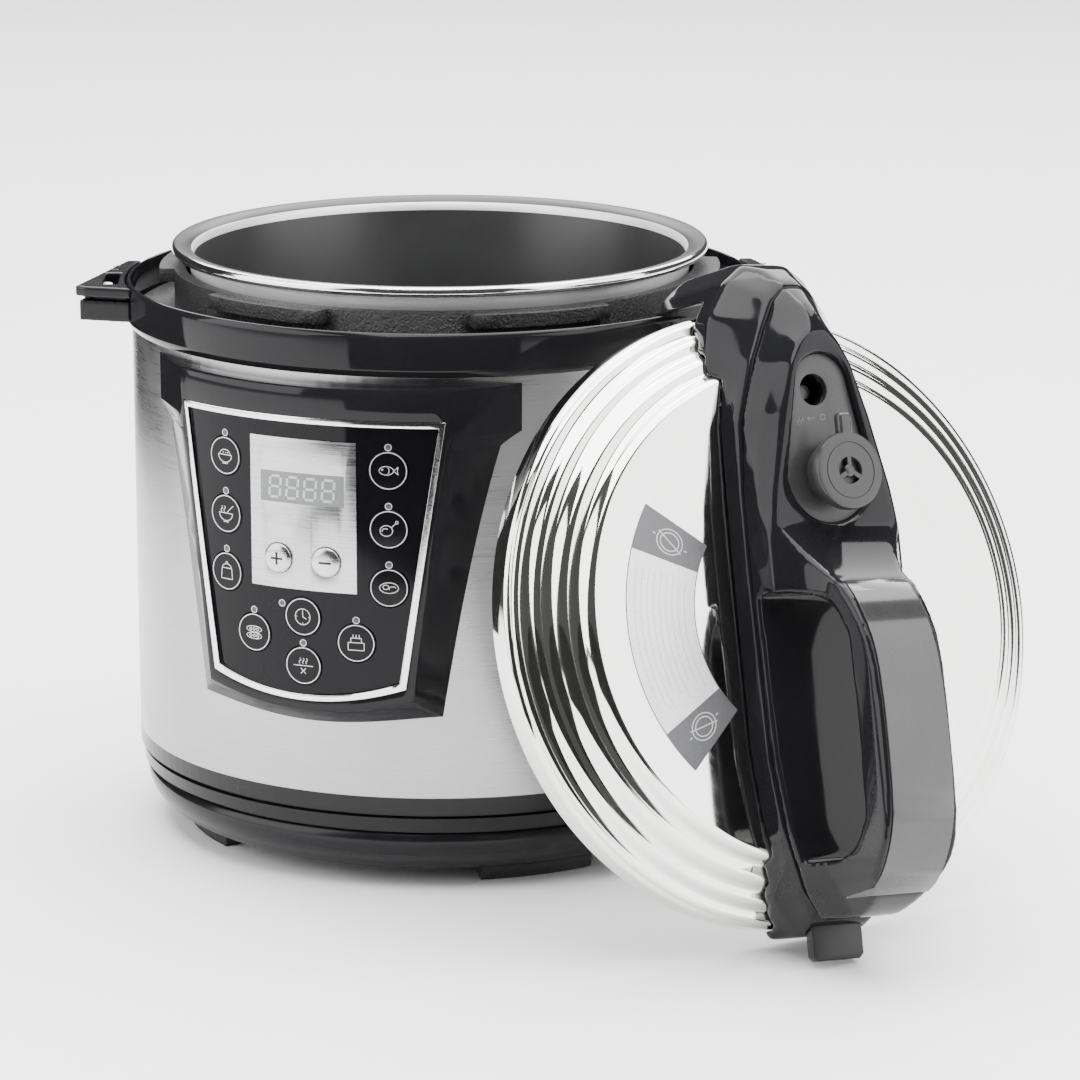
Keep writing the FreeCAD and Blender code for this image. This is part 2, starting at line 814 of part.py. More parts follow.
def make_condensate_cup():
    """The cup at the back that catches drips, between two guide rails on the shell."""
    low = dim("cup_low")
    back = dim("shell_radius") + dim("cup_depth")
    half = dim("cup_width") / 2
    wall = dim("cup_wall")
    solid = box("cup_solid", -half, 110, low, half * 2, back - 110, dim("cup_high"))
    fit = cylinder("cup_fit", dim("shell_radius") + 0.4, 200, 60)
    hollow = box("cup_hollow", -half + wall, 110, low + wall,
                 (half - wall) * 2, back - wall - 110, dim("cup_high"))
    hollow_fit = cylinder("cup_hollow_fit", dim("shell_radius") + 0.4 + wall, 200, 60)
    shell = cut("cup_body", cut("cup_outside", solid, fit), cut("cup_inside", hollow, hollow_fit))
    node(shell, "condensate_cup")
    rails = []
    for side in (-1, 1):
        x = (half + 2.4) * side - 2
        rail = box(f"cup_rail_{side + 1}", x, 110, low + 4, 4, back - 116, dim("cup_high") - 12)
        rails.append(cut(f"cup_rail_fit_{side + 1}", rail,
                         cylinder(f"cup_rail_core_{side + 1}", dim("shell_radius"), 200, 60)))
    node(fuse("cup_guides", rails), "cup_rails")


# ---------------------------------------------------------------- control panel
def panel_outline(half_top, high, half_low, low, sag, inset=0):
    """The panel's outline: straight top and sides, and a bottom edge that sags."""
    half_top = as_size(half_top) - inset
    half_low = as_size(half_low) - inset
    low = as_size(low) + inset
    high = as_size(high) - inset
    return [(-half_low, low, sag), (half_low, low), (half_top, high), (-half_top, high)]


def trim_outline(inset=0):
    """The outline of the bright trim."""
    return panel_outline(dim("trim_top_half"), dim("trim_top"), dim("trim_low_half"), dim("trim_low"),
                         dim("trim_sag"), inset)


def key_places():
    """Each flat key's name, its angle round the body from the panel's middle, and its height."""
    row = dim("key_low_row")
    step = dim("key_step")
    side = dim("key_column")
    near = dim("key_side")
    return [
        ("rice", -side, row + step * 2), ("porridge", -side, row + step), ("soup", -side, row),
        ("fish", side, row + step * 2), ("chicken", side, row + step), ("meat", side, row),
        ("bean", -near, dim("key_bottom_row")), ("cake", near, dim("key_bottom_row")),
        ("preset", as_size(0), dim("key_preset")), ("cancel", as_size(0), dim("key_cancel")),
    ]


def adjust_places():
    """The plus and minus buttons' names, angles and heights."""
    return [("minus", dim("adjust_angle"), dim("adjust_height")),
            ("plus", -dim("adjust_angle"), dim("adjust_height"))]


def led_place(name, azimuth, height):
    """Where a key's light sits: above it, or beside the preset key."""
    if name == "preset":
        return azimuth - 3.9, height + 5
    return azimuth, height + dim("led_rise")


def housing_section(body, place):
    """The moulded housing's section at its back or its front, with an ear at each upper corner."""
    low, step, ear, top = (dim(f"housing_{place}_{level}") for level in ("low", "step", "ear", "top"))
    halves = (dim(f"housing_{place}_{level}_half") for level in ("low", "step", "ear"))
    low_half, step_half, ear_half = halves
    corners = [(-low_half, low, dim(f"housing_{place}_sag")), (low_half, low), (step_half, step),
               (ear_half, ear), (ear_half, top), (-ear_half, top), (-ear_half, ear), (-step_half, step)]
    return outline(body, f"housing_{place}_outline", "XZ_Plane", corners, dim(f"housing_{place}"))


def make_panel_housing():
    """The moulded panel housing, sloping in to its face, with a well for the film and the keys."""
    body = new_body("housing_front")
    back = housing_section(body, "back")
    front = housing_section(body, "front")
    loft = body.newObject("PartDesign::AdditiveLoft", "housing_loft")
    loft.Profile = back
    loft.Sections = [front]
    loft.Ruled = True
    ring = tube("housing_ring", dim("shell_radius"), dim("panel_face"), 40, dim("collar_top"))
    blank = common("housing_blank", ring, body)
    well = curved_plate("housing_well", trim_outline(), dim("panel_floor"), dim("panel_face") + 5)
    node(cut("housing", blank, well), "panel_housing")


def make_panel_skins():
    """The bright trim, the black film with its key holes, the brushed fascia and the display window."""
    within = trim_outline(dim("trim_width"))
    outer = curved_plate("trim_blank", trim_outline(), dim("trim_back"), dim("panel_face") + 0.3)
    inner = curved_plate("trim_hole", within, dim("trim_back") - 2, dim("panel_face") + 4)
    node(cut("trim", outer, inner), "panel_trim")
    sheet_blank = curved_plate("film_blank", within, dim("film_back"), dim("film_face"))
    holes = []
    for name, azimuth, height in key_places():
        holes.append(radial_pin(f"film_hole_{name}", dim("key_radius") + dim("key_play"),
                                dim("film_back") - 4, dim("panel_face") + 3, azimuth, height))
        led_azimuth, led_height = led_place(name, azimuth, height)
        holes.append(radial_pin(f"film_eye_{name}", dim("led_radius") + 0.1,
                                dim("film_back") - 4, dim("panel_face") + 3, led_azimuth, led_height))
    for name, azimuth, height in adjust_places():
        holes.append(radial_pin(f"film_hole_{name}", dim("adjust_radius") + dim("key_play"),
                                dim("film_back") - 4, dim("panel_face") + 3, azimuth, height))
    opening = rectangle(dim("display_half") + 2.5, dim("display_low") - 1.5, dim("display_high") + 1.5)
    holes.append(padded("film_window", "XZ_Plane", opening, 200))
    node(cut("film", sheet_blank, fuse("film_holes", holes)), "panel_film")
    face = rectangle(dim("fascia_half"), dim("fascia_low"), dim("fascia_high"))
    fascia = curved_plate("fascia_blank", face, dim("film_face"), dim("film_face") + dim("fascia_thick"))
    windows = [padded("fascia_window", "XZ_Plane",
                      rectangle(dim("display_half"), dim("display_low"), dim("display_high")), 200)]
    for name, azimuth, height in adjust_places():
        windows.append(radial_pin(f"fascia_hole_{name}", dim("adjust_radius") + dim("key_play"),
                                  dim("film_back") - 4, dim("panel_face") + 3, azimuth, height))
    node(cut("fascia", fascia, fuse("fascia_holes", windows)), "fascia_plate")
    node(curved_plate("window_pane", rectangle(dim("display_half"), dim("display_low"), dim("display_high")),
                      dim("film_face") - 0.6, dim("film_face") + dim("fascia_thick")), "display_window")
    front = dim("module_front")
    node(box("display_block", -dim("display_half") - 2, -front, dim("display_low") - 1,
             dim("display_half") * 2 + 4, dim("module_depth"), dim("display_high") - dim("display_low") + 2),
         "display_module")


def make_keys():
    """The keys, the switches that they press, their lights, and the control board behind the panel."""
    switches = []
    lights = []
    for name, azimuth, height in key_places():
        disc = radial_pin(f"key_{name}", dim("key_radius"), dim("key_back"), dim("key_face"),
                          azimuth, height)
        node(disc, f"button_{name}")
        switches.append(radial_pin(f"switch_{name}", dim("switch_radius"), dim("panel_floor"),
                                   dim("switch_face"), azimuth, height))
        led_azimuth, led_height = led_place(name, azimuth, height)
        lights.append(radial_pin(f"led_{name}", dim("led_radius"), dim("panel_floor"),
                                 dim("led_face"), led_azimuth, led_height))
    for name, azimuth, height in adjust_places():
        disc = radial_pin(f"key_{name}", dim("adjust_radius"), dim("key_back"), dim("adjust_face"),
                          azimuth, height)
        node(disc, f"button_{name}")
        switches.append(radial_pin(f"switch_{name}", dim("switch_radius"), dim("panel_floor"),
                                   dim("switch_face"), azimuth, height))
    node(fuse("switch_set", switches), "tact_switches")
    node(fuse("light_set", lights), "indicator_leds")
    node(box("control_pcb", -dim("board_half"), -dim("board_front"), dim("board_low"),
             dim("board_half") * 2, dim("board_thick"), dim("board_high") - dim("board_low")),
         "control_board")


# ---------------------------------------------------------------- lid, in its own frame
def lid_placement():
    """The lid leans on the right front of the collar, facing outwards and up, rolled a little."""
    turn = Rotation(UP, num("lid_azimuth"))
    tilt = Rotation(ALONG_X, 90 - num("lid_lean"))
    roll = Rotation(UP, -num("lid_roll"))
    return Placement(Vector(num("lid_x"), num("lid_y"), num("lid_z")), turn * tilt * roll)


def lid_profile(grow):
    """The outside of the lid from its middle to the foot of its skirt, grown by a small amount."""
    return [
        (0, dim("lid_height") + grow),
        (dim("lid_flat_radius") - 2 + grow, dim("lid_height") + grow, -0.5),
        (dim("lid_flat_radius") + grow, dim("lid_height") - 2 + grow),
        (dim("lid_flat_radius") + 2 + grow, dim("lid_shelf_height") + 0.6 + grow, 0.4),
        (dim("lid_flat_radius") + 3.5 + grow, dim("lid_shelf_height") + grow),
        (dim("lid_shelf_radius") + grow, dim("lid_shelf_height") + grow),
        (dim("lid_shelf_radius") + 3 + grow, dim("lid_step_height") + 0.6 + grow, 0.4),
        (dim("lid_shelf_radius") + 4.5 + grow, dim("lid_step_height") + grow),
        (dim("lid_step_radius") + grow, dim("lid_step_height") + grow),
        (dim("lid_step_radius") + 2 + grow, dim("lid_wall") + 0.5 + grow),
        (dim("lid_radius") - 1 + grow, dim("lid_wall") + grow, -0.5),
        (dim("lid_radius") + grow, grow),
        (dim("lid_skirt_radius") + grow, -3),
        (dim("lid_skirt_radius") + grow, -dim("lid_skirt") - grow),
    ]


def make_lid_shell():
    """The polished lid: stepped dome, bead and skirt, with inward lugs at the skirt's foot."""
    wall = dim("lid_wall")
    outside = lid_profile(as_size(0))
    solid = revolved("lid_outside", outside + [(0, -dim("lid_skirt"))])
    inner = dim("lid_skirt_radius") - wall
    hollow = revolved("lid_inside", [
        (0, dim("lid_height") - wall),
        (dim("lid_flat_radius") - wall, dim("lid_height") - wall),
        (dim("lid_flat_radius") + 1.5, dim("lid_shelf_height") - wall),
        (dim("lid_shelf_radius") - wall, dim("lid_shelf_height") - wall),
        (dim("lid_shelf_radius") + 2.5, dim("lid_step_height") - wall),
        (dim("lid_step_radius") - wall, dim("lid_step_height") - wall),
        (dim("lid_step_radius") + 1, 0),
        (dim("lid_radius") - wall * 2, 0),
        (inner, -4),
        (inner, -dim("lid_skirt") - 5),
        (0, -dim("lid_skirt") - 5),
    ])
    shell = cut("lid_dome", solid, hollow)
    lug_band = tube("lid_lug_band", dim("lid_lug_radius"), inner + 0.5,
                    -dim("lid_skirt"), -dim("lid_skirt") + wall)
    spokes = []
    for index, azimuth in enumerate(spaced(3, 45)):
        spoke = centred_box(f"lid_spoke_{index}", 0, 0, -dim("lid_skirt"), 150, dim("lug_width") / 2, wall)
        holder = doc.addObject("Part::Compound", f"lid_lug_pair_{index}")
        holder.Links = [spoke]
        holder.Placement = turned(azimuth)
        spokes.append(holder)
    lugs = common("lid_lugs", lug_band, fuse("lid_spokes", spokes))
    holes = [
        cylinder("vent_hole", dim("pipe_radius"), 12, 12, dim("knob_x"), dim("knob_y")),
        cylinder("float_hole", dim("float_radius") - 0.6, 12, 12, dim("float_x"), dim("float_y")),
    ]
    for index, (x, y) in enumerate(handle_screw_places()):
        holes.append(cylinder(f"handle_screw_hole_{index}", dim("screw_shank"), 12, 12, x, y))
    node(cut("lid_drilled", fuse("lid_whole", [shell, lugs]), fuse("lid_holes", holes)),
         "lid_shell", lid_placement())


def handle_screw_places():
    """The centres of the three screws that hold the handle to the lid."""
    return [(-20, 64), (20, 64), (0, -80)]


def handle_section(body, level, stations):
    """One level section of the handle, through (along, half width) stations on both sides."""
    right = [(half, along) for along, half in stations]
    left = [(-half, along) for along, half in reversed(stations)]
    return outline(body, f"handle_section_{level}", "XY_Plane", right + left, level)


def handle_envelope(name):
    """The handle's outer form: wide on the lid, narrowing to the rim of the valve deck and to its ends."""
    body = new_body(name)
    sections = [handle_section(body, level, stations) for level, stations in HANDLE_SECTIONS]
    loft = body.newObject("PartDesign::AdditiveLoft", name + "_loft")
    loft.Profile = sections[0]
    loft.Sections = sections[1:]
    loft.Ruled = True
    return body


def along_handle(name, corners, half):
    """A prism across the handle: a side view (along, up) given a half width."""
    return padded(name, "YZ_Plane", corners, as_size(half) * 2, middle=True)


def handle_block(name, side_view):
    """A side view of the handle trimmed to the handle's outer form."""
    return common(name, along_handle(name + "_side", side_view, 45), handle_envelope(name + "_form"))


def teardrop(name, grow, low, height):
    """The valve deck's outline: a wide round end under the knob, a narrow one round the float valve."""
    wide = dim("deck_wide") + grow
    narrow = dim("deck_narrow") + grow
    return padded(name, "XY_Plane", [
        (-wide, dim("knob_y"), wide - 1.5),
        (wide, dim("knob_y")),
        (narrow, dim("deck_far"), narrow - 1),
        (-narrow, dim("deck_far")),
    ], height, offset=low)


def make_handle_base():
    """The lower half of the handle: it follows the lid and hooks down over the rim at its upper end."""
    split = dim("handle_split")
    hook = dim("hook_end")
    hook_in = hook - dim("hook_wall")
    tail = dim("tail_end")
    blank = handle_block("base_blank", [
        (-tail, -dim("tail_depth")),
        (-tail + 12, -dim("tail_depth")),
        (-tail + 12, 2),
        (hook_in, 2),
        (hook_in, -dim("hook_depth")),
        (hook - 3, -dim("hook_depth"), 0.8),
        (hook, -dim("hook_depth") + 5, 1),
        (hook, 2, 2.4),
        (hook - 12, split),
        (-tail + 12, split, 2),
        (-tail, split - 18),
    ])
    envelope = revolved("lid_envelope", lid_profile(as_size(0.2)) + [(0, -dim("lid_skirt") - 0.2)])
    tools = [envelope]
    tools.append(cylinder("base_vent_hole", 7, 30, 15, dim("knob_x"), dim("knob_y")))
    tools.append(cylinder("base_float_hole", dim("float_hole"), 30, 15, dim("float_x"), dim("float_y")))
    tools.append(centred_box("tab_slot", 0, -dim("tail_end"), dim("tab_low"),
                             dim("tab_half"), 16, dim("tab_thick")))
    for index, (x, y) in enumerate(handle_screw_places()):
        tools.append(cylinder(f"base_pilot_{index}", dim("screw_shank"), 14, 16, x, y))
    node(cut("handle_lower", blank, fuse("handle_base_tools", tools)), "handle_base", lid_placement())
    half = dim("tab_half")
    tab = padded("tab", "XY_Plane", [
        (-half, -tail + 16),
        (-half, -dim("tab_end") + 2),
        (-half + 2, -dim("tab_end")),
        (half - 2, -dim("tab_end")),
        (half, -dim("tab_end") + 2),
        (half, -tail + 16),
    ], dim("tab_thick"), offset=dim("tab_low"))
    node(tab, "lid_tab", lid_placement())


def grip_side_view():
    """The side view of the handle's cover: low over the valves, arched over the finger gap."""
    split = dim("handle_split")
    top = dim("grip_top")
    deck = dim("deck_height") + 3
    return [
        (-dim("tail_end") + 6, split),
        (dim("hook_end") - 12, split, 1.5),
        (dim("hook_end") - 37, deck),
        (dim("knob_y") - 20, deck, -3),
        (6, top - 18, 3.5),
        (-32, top - 1.2, 1.4),
        (-88, top - 1.2, 8),
        (-dim("tail_end") + 6, split + 20),
    ]


def make_handle_cover():
    """The upper half of the handle: a deck for the valves and a grip bridging the finger gap."""
    blank = handle_block("cover_blank", grip_side_view())
    grip = dim("grip_half")
    half = dim("handle_half") - 1.5
    section = padded("cover_section", "XZ_Plane", [
        (-half, 20),
        (half, 20),
        (half - 2, dim("deck_height") + 1, -2),
        (grip + 1.5, dim("deck_height") + 20),
        (grip, dim("grip_top") - 6, 1.2),
        (grip - 5, dim("grip_top") + 3),
        (-grip + 5, dim("grip_top") + 3, 1.2),
        (-grip, dim("grip_top") - 6),
        (-grip - 1.5, dim("deck_height") + 20, -2),
        (-half + 2, dim("deck_height") + 1),
    ], 400, middle=True)
    bar = common("cover_bar", blank, section)
    gap = along_handle("finger_gap", [
        (dim("gap_lower"), dim("gap_floor") + 3),
        (dim("gap_upper"), dim("gap_floor") + 3, 1.5),
        (dim("gap_upper") - 3, dim("gap_floor") + 26, 3),
        (dim("gap_upper") - 22, dim("grip_low"), 0.8),
        (dim("gap_lower") + 18, dim("grip_low"), 4),
        (dim("gap_lower"), dim("grip_low") - 18),
    ], 50)
    recess = teardrop("deck_recess", 0.2, dim("deck_height") - dim("deck_thick"), 20)
    holes = [
        gap,
        recess,
        cylinder("cover_vent_hole", 7, 40, 20, dim("knob_x"), dim("knob_y")),
        cylinder("cover_float_hole", dim("float_hole"), 40, 20, dim("float_x"), dim("float_y")),
    ]
    lowered = doc.addObject("Part::Compound", "bar_lowered")
    lowered.Links = [bar]
    bind(lowered, Placement__Base__z=-dim("inlay_thick"))
    skin = cut("bar_skin", bar, lowered)
    strip = centred_box("inlay_strip", 0, dim("inlay_middle"), 40, dim("inlay_half"), dim("inlay_reach"), 80)
    inlay = common("inlay", skin, strip)
    node(inlay, "handle_inlay", lid_placement())
    body = cut("cover_body", bar, fuse("cover_tools", holes))
    node(cut("cover_seated", body, skin_copy(inlay)), "lid_handle", lid_placement())
    deck = teardrop("deck_plate", 0, dim("deck_height") - dim("deck_thick"), dim("deck_thick"))
    deck_holes = fuse("deck_holes", [
        cylinder("deck_vent_hole", 7, 40, 30, dim("knob_x"), dim("knob_y")),
        cylinder("deck_float_hole", dim("float_hole"), 40, 30, dim("float_x"), dim("float_y")),
    ])
    node(cut("deck", deck, deck_holes), "valve_deck", lid_placement())


def skin_copy(inlay):
    """The inlay again in the lid's own frame, as a cutter for its seat."""
    holder = doc.addObject("Part::Common", "inlay_seat")
    holder.Base = inlay.Base
    holder.Tool = inlay.Tool
    return holder


def make_valves():
    """The steam vent with its regulator knob, and the float valve with its seal."""
    place = lid_placement()
    x = dim("knob_x")
    y = dim("knob_y")
    pipe = cylinder("vent_tube", dim("pipe_radius"), dim("knob_top") - 6 - 12, 12, x, y)
    nut = cylinder("vent_nut", dim("pipe_radius") + 2, 3, dim("lid_height"), x, y)
    bore = cylinder("vent_bore", dim("pipe_bore"), 80, 0, x, y)
    node(cut("vent", fuse("vent_blank", [pipe, nut]), bore), "vent_pipe", place)
    knob = [
        cylinder("knob_disc", dim("knob_radius"), dim("knob_top") - dim("knob_low"), dim("knob_low"), x, y),
        centred_box("knob_pointer_bar", x, y + dim("knob_pointer") / 2, dim("knob_low"),
                    3.4, dim("knob_pointer") / 2, 7),
    ]
    socket = cylinder("knob_socket", dim("pipe_radius") + 0.3, 12, dim("knob_top") - 17.5, x, y)
    node(cut("knob", fuse("knob_blank", knob), socket), "regulator_knob", place)
    fx = dim("float_x")
    fy = dim("float_y")
    stem = dim("float_radius") - 0.9
    node(fuse("float_pin", [
        cylinder("float_stem", stem, 32, 8, fx, fy),
        cylinder("float_flange", dim("float_radius") + 1, 2, 7, fx, fy),
        cylinder("float_head", dim("float_radius") + 0.6, 2, dim("lid_height") + 0.3, fx, fy),
    ]), "float_valve", place)
    below_lid = dim("lid_height") - dim("lid_wall") - 1.9
    grommet = cylinder("float_grommet", dim("float_radius") + 2.5, 1.9, below_lid,
                       fx, fy)
    grommet_hole = cylinder("float_grommet_hole", stem + 0.3, 20, 5, fx, fy)
    node(cut("float_ring", grommet, grommet_hole), "float_seal", place)
    cap = cylinder("shield_cap", 9, 8, dim("lid_height") - dim("lid_wall") - 8, x, y)
    cap_hollow = cylinder("shield_hollow", 8.2, 8, dim("lid_height") - dim("lid_wall") - 7.2, x, y)
    slots = [centred_box(f"shield_slot_{i}", x, y, dim("lid_height") - dim("lid_wall") - 5, *halves, 3)
             for i, halves in enumerate(((12, 1.5), (1.5, 12)))]
    node(cut("shield", cap, fuse("shield_tools", [cap_hollow] + slots)), "filter_shield", place)


def make_inner_lid():
    """The inner cover and its sealing ring, and the post that holds them to the lid."""
    place = lid_placement()
    low = dim("inner_lid_height")
    plate = revolved("inner_plate", [
        (6.3, low - 1.5),
        (dim("inner_lid_radius") - 14, low - 1.5),
        (dim("inner_lid_radius") - 8, -1.5),
        (dim("inner_lid_radius") + 2, -1.5),
        (dim("inner_lid_radius") + 2, 0),
        (dim("inner_lid_radius") - 7, 0),
        (dim("inner_lid_radius") - 13, low),
        (6.3, low),
    ])
    holes = [cylinder(f"inner_hole_{index}", 3, 20, -5, *on_ring(60, azimuth))
             for index, azimuth in enumerate(spaced(8))]
    node(cut("inner_cover", plate, fuse("inner_holes", holes)), "inner_lid_plate", place)
    node(revolved("seal", [
        (dim("seal_inner") - 1, dim("seal_low") + 1),
        (dim("seal_outer") - 2, dim("seal_low")),
        (dim("seal_outer"), dim("seal_low") + 2),
        (dim("seal_outer"), dim("seal_high") - 1),
        (dim("seal_outer") - 1, dim("seal_high")),
        (dim("seal_inner"), dim("seal_high")),
        (dim("seal_inner") - 1, dim("seal_high") - 1),
        (dim("seal_inner") - 1, 0),
        (dim("seal_outer") - 6, 0),
        (dim("seal_outer") - 6, -1.5),
        (dim("seal_inner") - 1, -1.5),
    ]), "sealing_ring", place)
    node(revolved("post", [
        (0, -6),
        (11, -6),
        (12, -5),
        (12, low - 1.5),
        (6, low - 1.5),
        (6, low + 1),
        (5, low + 1),
        (5, dim("lid_height") - dim("lid_wall")),
        (0, dim("lid_height") - dim("lid_wall")),
    ]), "centre_post", place)


def make_handle_fittings():
    """The screws that hold the handle to the lid."""
    place = lid_placement()
    under = dim("lid_height") - dim("lid_wall")
    screws = []
    for index, (x, y) in enumerate(handle_screw_places()):
        screws.append(cylinder(f"handle_screw_{index}", dim("screw_shank"), 12, under - 1, x, y))
        screws.append(cylinder(f"handle_screw_head_{index}", dim("screw_head"), 2, under - 2, x, y))
    node(fuse("handle_screw_set", screws), "handle_screws", place)


# ---------------------------------------------------------------- the whole cooker
def write_nodes():
    """Check every object, then write each sub-part to its file."""
    doc.recompute()
    failed = [item.Name for item in doc.Objects if "Invalid" in item.State or "Error" in item.State]
    if failed:
        raise SystemExit(f"objects that failed: {failed}")
    for item in nodes:
        if item.Shape.isNull() or not item.Shape.isValid() or not item.Shape.Solids:
            raise SystemExit(f"{item.Label} has no valid solid")
    os.makedirs("parts", exist_ok=True)
    for item in nodes:
        item.Shape.exportStep(f"parts/{item.Label}.step")
        print(f"{item.Label}: {len(item.Shape.Solids)} solid(s), {item.Shape.Volume / 1000:.1f} cm3")


make_feet()
make_base()
make_base_screws()
make_shell()
make_collar()
make_pressure_body()
make_side_handle(-1, "side_handle_left")
make_side_handle(1, "side_handle_right")
make_inner_pot()
make_heater()
make_base_electrics()
make_condensate_cup()
make_panel_housing()
make_panel_skins()
make_keys()
make_lid_shell()
make_handle_base()
make_handle_cover()
make_valves()
make_inner_lid()
make_handle_fittings()
write_nodes()
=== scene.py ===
"""Looks of an electric pressure cooker whose lid is off and leans on its right front.

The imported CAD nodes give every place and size. Pieces are in metres in the same frame:
origin on the table at the axis of the pot, +Z up, control panel towards -Y.
"""

from __future__ import annotations

import json
import logging
import math
from dataclasses import dataclass, field
from enum import Enum

import bmesh
import bpy
from mathutils import Euler, Matrix, Vector

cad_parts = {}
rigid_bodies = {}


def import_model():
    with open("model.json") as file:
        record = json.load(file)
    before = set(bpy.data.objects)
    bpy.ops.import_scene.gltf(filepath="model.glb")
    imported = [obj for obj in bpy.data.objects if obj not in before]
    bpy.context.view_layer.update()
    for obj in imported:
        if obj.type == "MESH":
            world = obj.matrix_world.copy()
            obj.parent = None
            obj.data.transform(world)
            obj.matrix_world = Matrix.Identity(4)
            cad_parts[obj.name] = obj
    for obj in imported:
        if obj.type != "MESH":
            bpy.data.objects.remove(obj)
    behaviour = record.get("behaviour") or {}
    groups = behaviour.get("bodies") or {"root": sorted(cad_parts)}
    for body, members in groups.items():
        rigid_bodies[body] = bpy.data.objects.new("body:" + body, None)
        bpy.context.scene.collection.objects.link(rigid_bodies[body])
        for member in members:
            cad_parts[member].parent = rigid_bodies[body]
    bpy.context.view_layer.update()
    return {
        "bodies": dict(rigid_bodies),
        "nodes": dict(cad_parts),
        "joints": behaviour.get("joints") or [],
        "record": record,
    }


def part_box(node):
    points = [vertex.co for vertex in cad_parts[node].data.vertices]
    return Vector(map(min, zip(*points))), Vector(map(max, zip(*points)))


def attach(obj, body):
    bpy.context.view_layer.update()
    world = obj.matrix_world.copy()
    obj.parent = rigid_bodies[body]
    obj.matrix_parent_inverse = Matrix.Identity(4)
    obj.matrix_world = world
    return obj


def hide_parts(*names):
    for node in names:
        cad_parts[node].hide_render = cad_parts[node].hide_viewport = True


LOG = logging.getLogger("cooker")
MM = 0.001
COAT_ROUGHNESS = 0.03
GRAIN_STRETCH = 0.012
PLASTIC_IOR = 1.45
MERGE_GAP = 2e-6
FLAT_ANGLE = 0.4
Colour = tuple[float, float, float]
Point = tuple[float, float]


# ---------------------------------------------------------------- finishes
class Grain(Enum):
    """How the fine marks of a finish lie."""

    EVEN = "even"
    ROUND = "round"
    LEVEL = "level"


class Graph:
    """A material's nodes, with short ways to add and join them."""

    def __init__(self, name: str) -> None:
        """Start a material that holds one shader and its output.

        Args:
            name: The material's name.
        """
        self.material = bpy.data.materials.new(name)
        self.material.use_nodes = True
        self.nodes = self.material.node_tree.nodes
        self.links = self.material.node_tree.links
        self.shader = self.nodes["Principled BSDF"]

    def add(self, kind: str, inputs: dict | None = None, **settings: object) -> bpy.types.Node:
        """Add a node.

        Args:
            kind: The node's type name.
            inputs: Socket values, or sockets to join, by socket name or number.
            settings: The node's own properties.

        Returns:
            The new node.
        """
        made = self.nodes.new(kind)
        for key, value in settings.items():
            setattr(made, key, value)
        for key, value in (inputs or {}).items():
            self.feed(made, key, value)
        return made

    def feed(self, node: bpy.types.Node, key: str | int, value: object) -> None:
        """Set a socket's value, or join another node's socket to it.

        Args:
            node: The node.
            key: The socket's name or number.
            value: The value, or the socket to join.
        """
        if isinstance(value, bpy.types.NodeSocket):
            self.links.new(value, node.inputs[key])
        else:
            node.inputs[key].default_value = value

    def math(self, operation: str, first: object, second: object = 0.0) -> bpy.types.NodeSocket:
        """One sum on two values or sockets."""
        return self.add("ShaderNodeMath", {0: first, 1: second}, operation=operation).outputs[0]

    def spread(self, value: bpy.types.NodeSocket, low: float, high: float,
               start: float = 0.4, end: float = 0.6) -> bpy.types.NodeSocket:
        """Map the middle of a pattern's range to a range of values."""
        inputs = {"Value": value, "From Min": start, "From Max": end, "To Min": low, "To Max": high}
        return self.add("ShaderNodeMapRange", inputs).outputs[0]

    def noise(self, vector: bpy.types.NodeSocket, scale: float, detail: float) -> bpy.types.NodeSocket:
        """A noise pattern along a vector."""
        inputs = {"Vector": vector, "Scale": scale, "Detail": detail, "Roughness": 0.6}
        return self.add("ShaderNodeTexNoise", inputs).outputs[0]

    def mix(self, share: object, first: object, second: object) -> bpy.types.NodeSocket:
        """Blend two colours.

        Args:
            share: How much there is of the second.
            first: A colour, or a socket that gives one.
            second: The same.

        Returns:
            The blended colour's socket.
        """
        made = self.add("ShaderNodeMix", data_type="RGBA")
        self.feed(made, 0, share)
        for key, colour in ((6, first), (7, second)):
            self.feed(made, key, (*colour, 1.0) if isinstance(colour, tuple) else colour)
        return made.outputs[2]


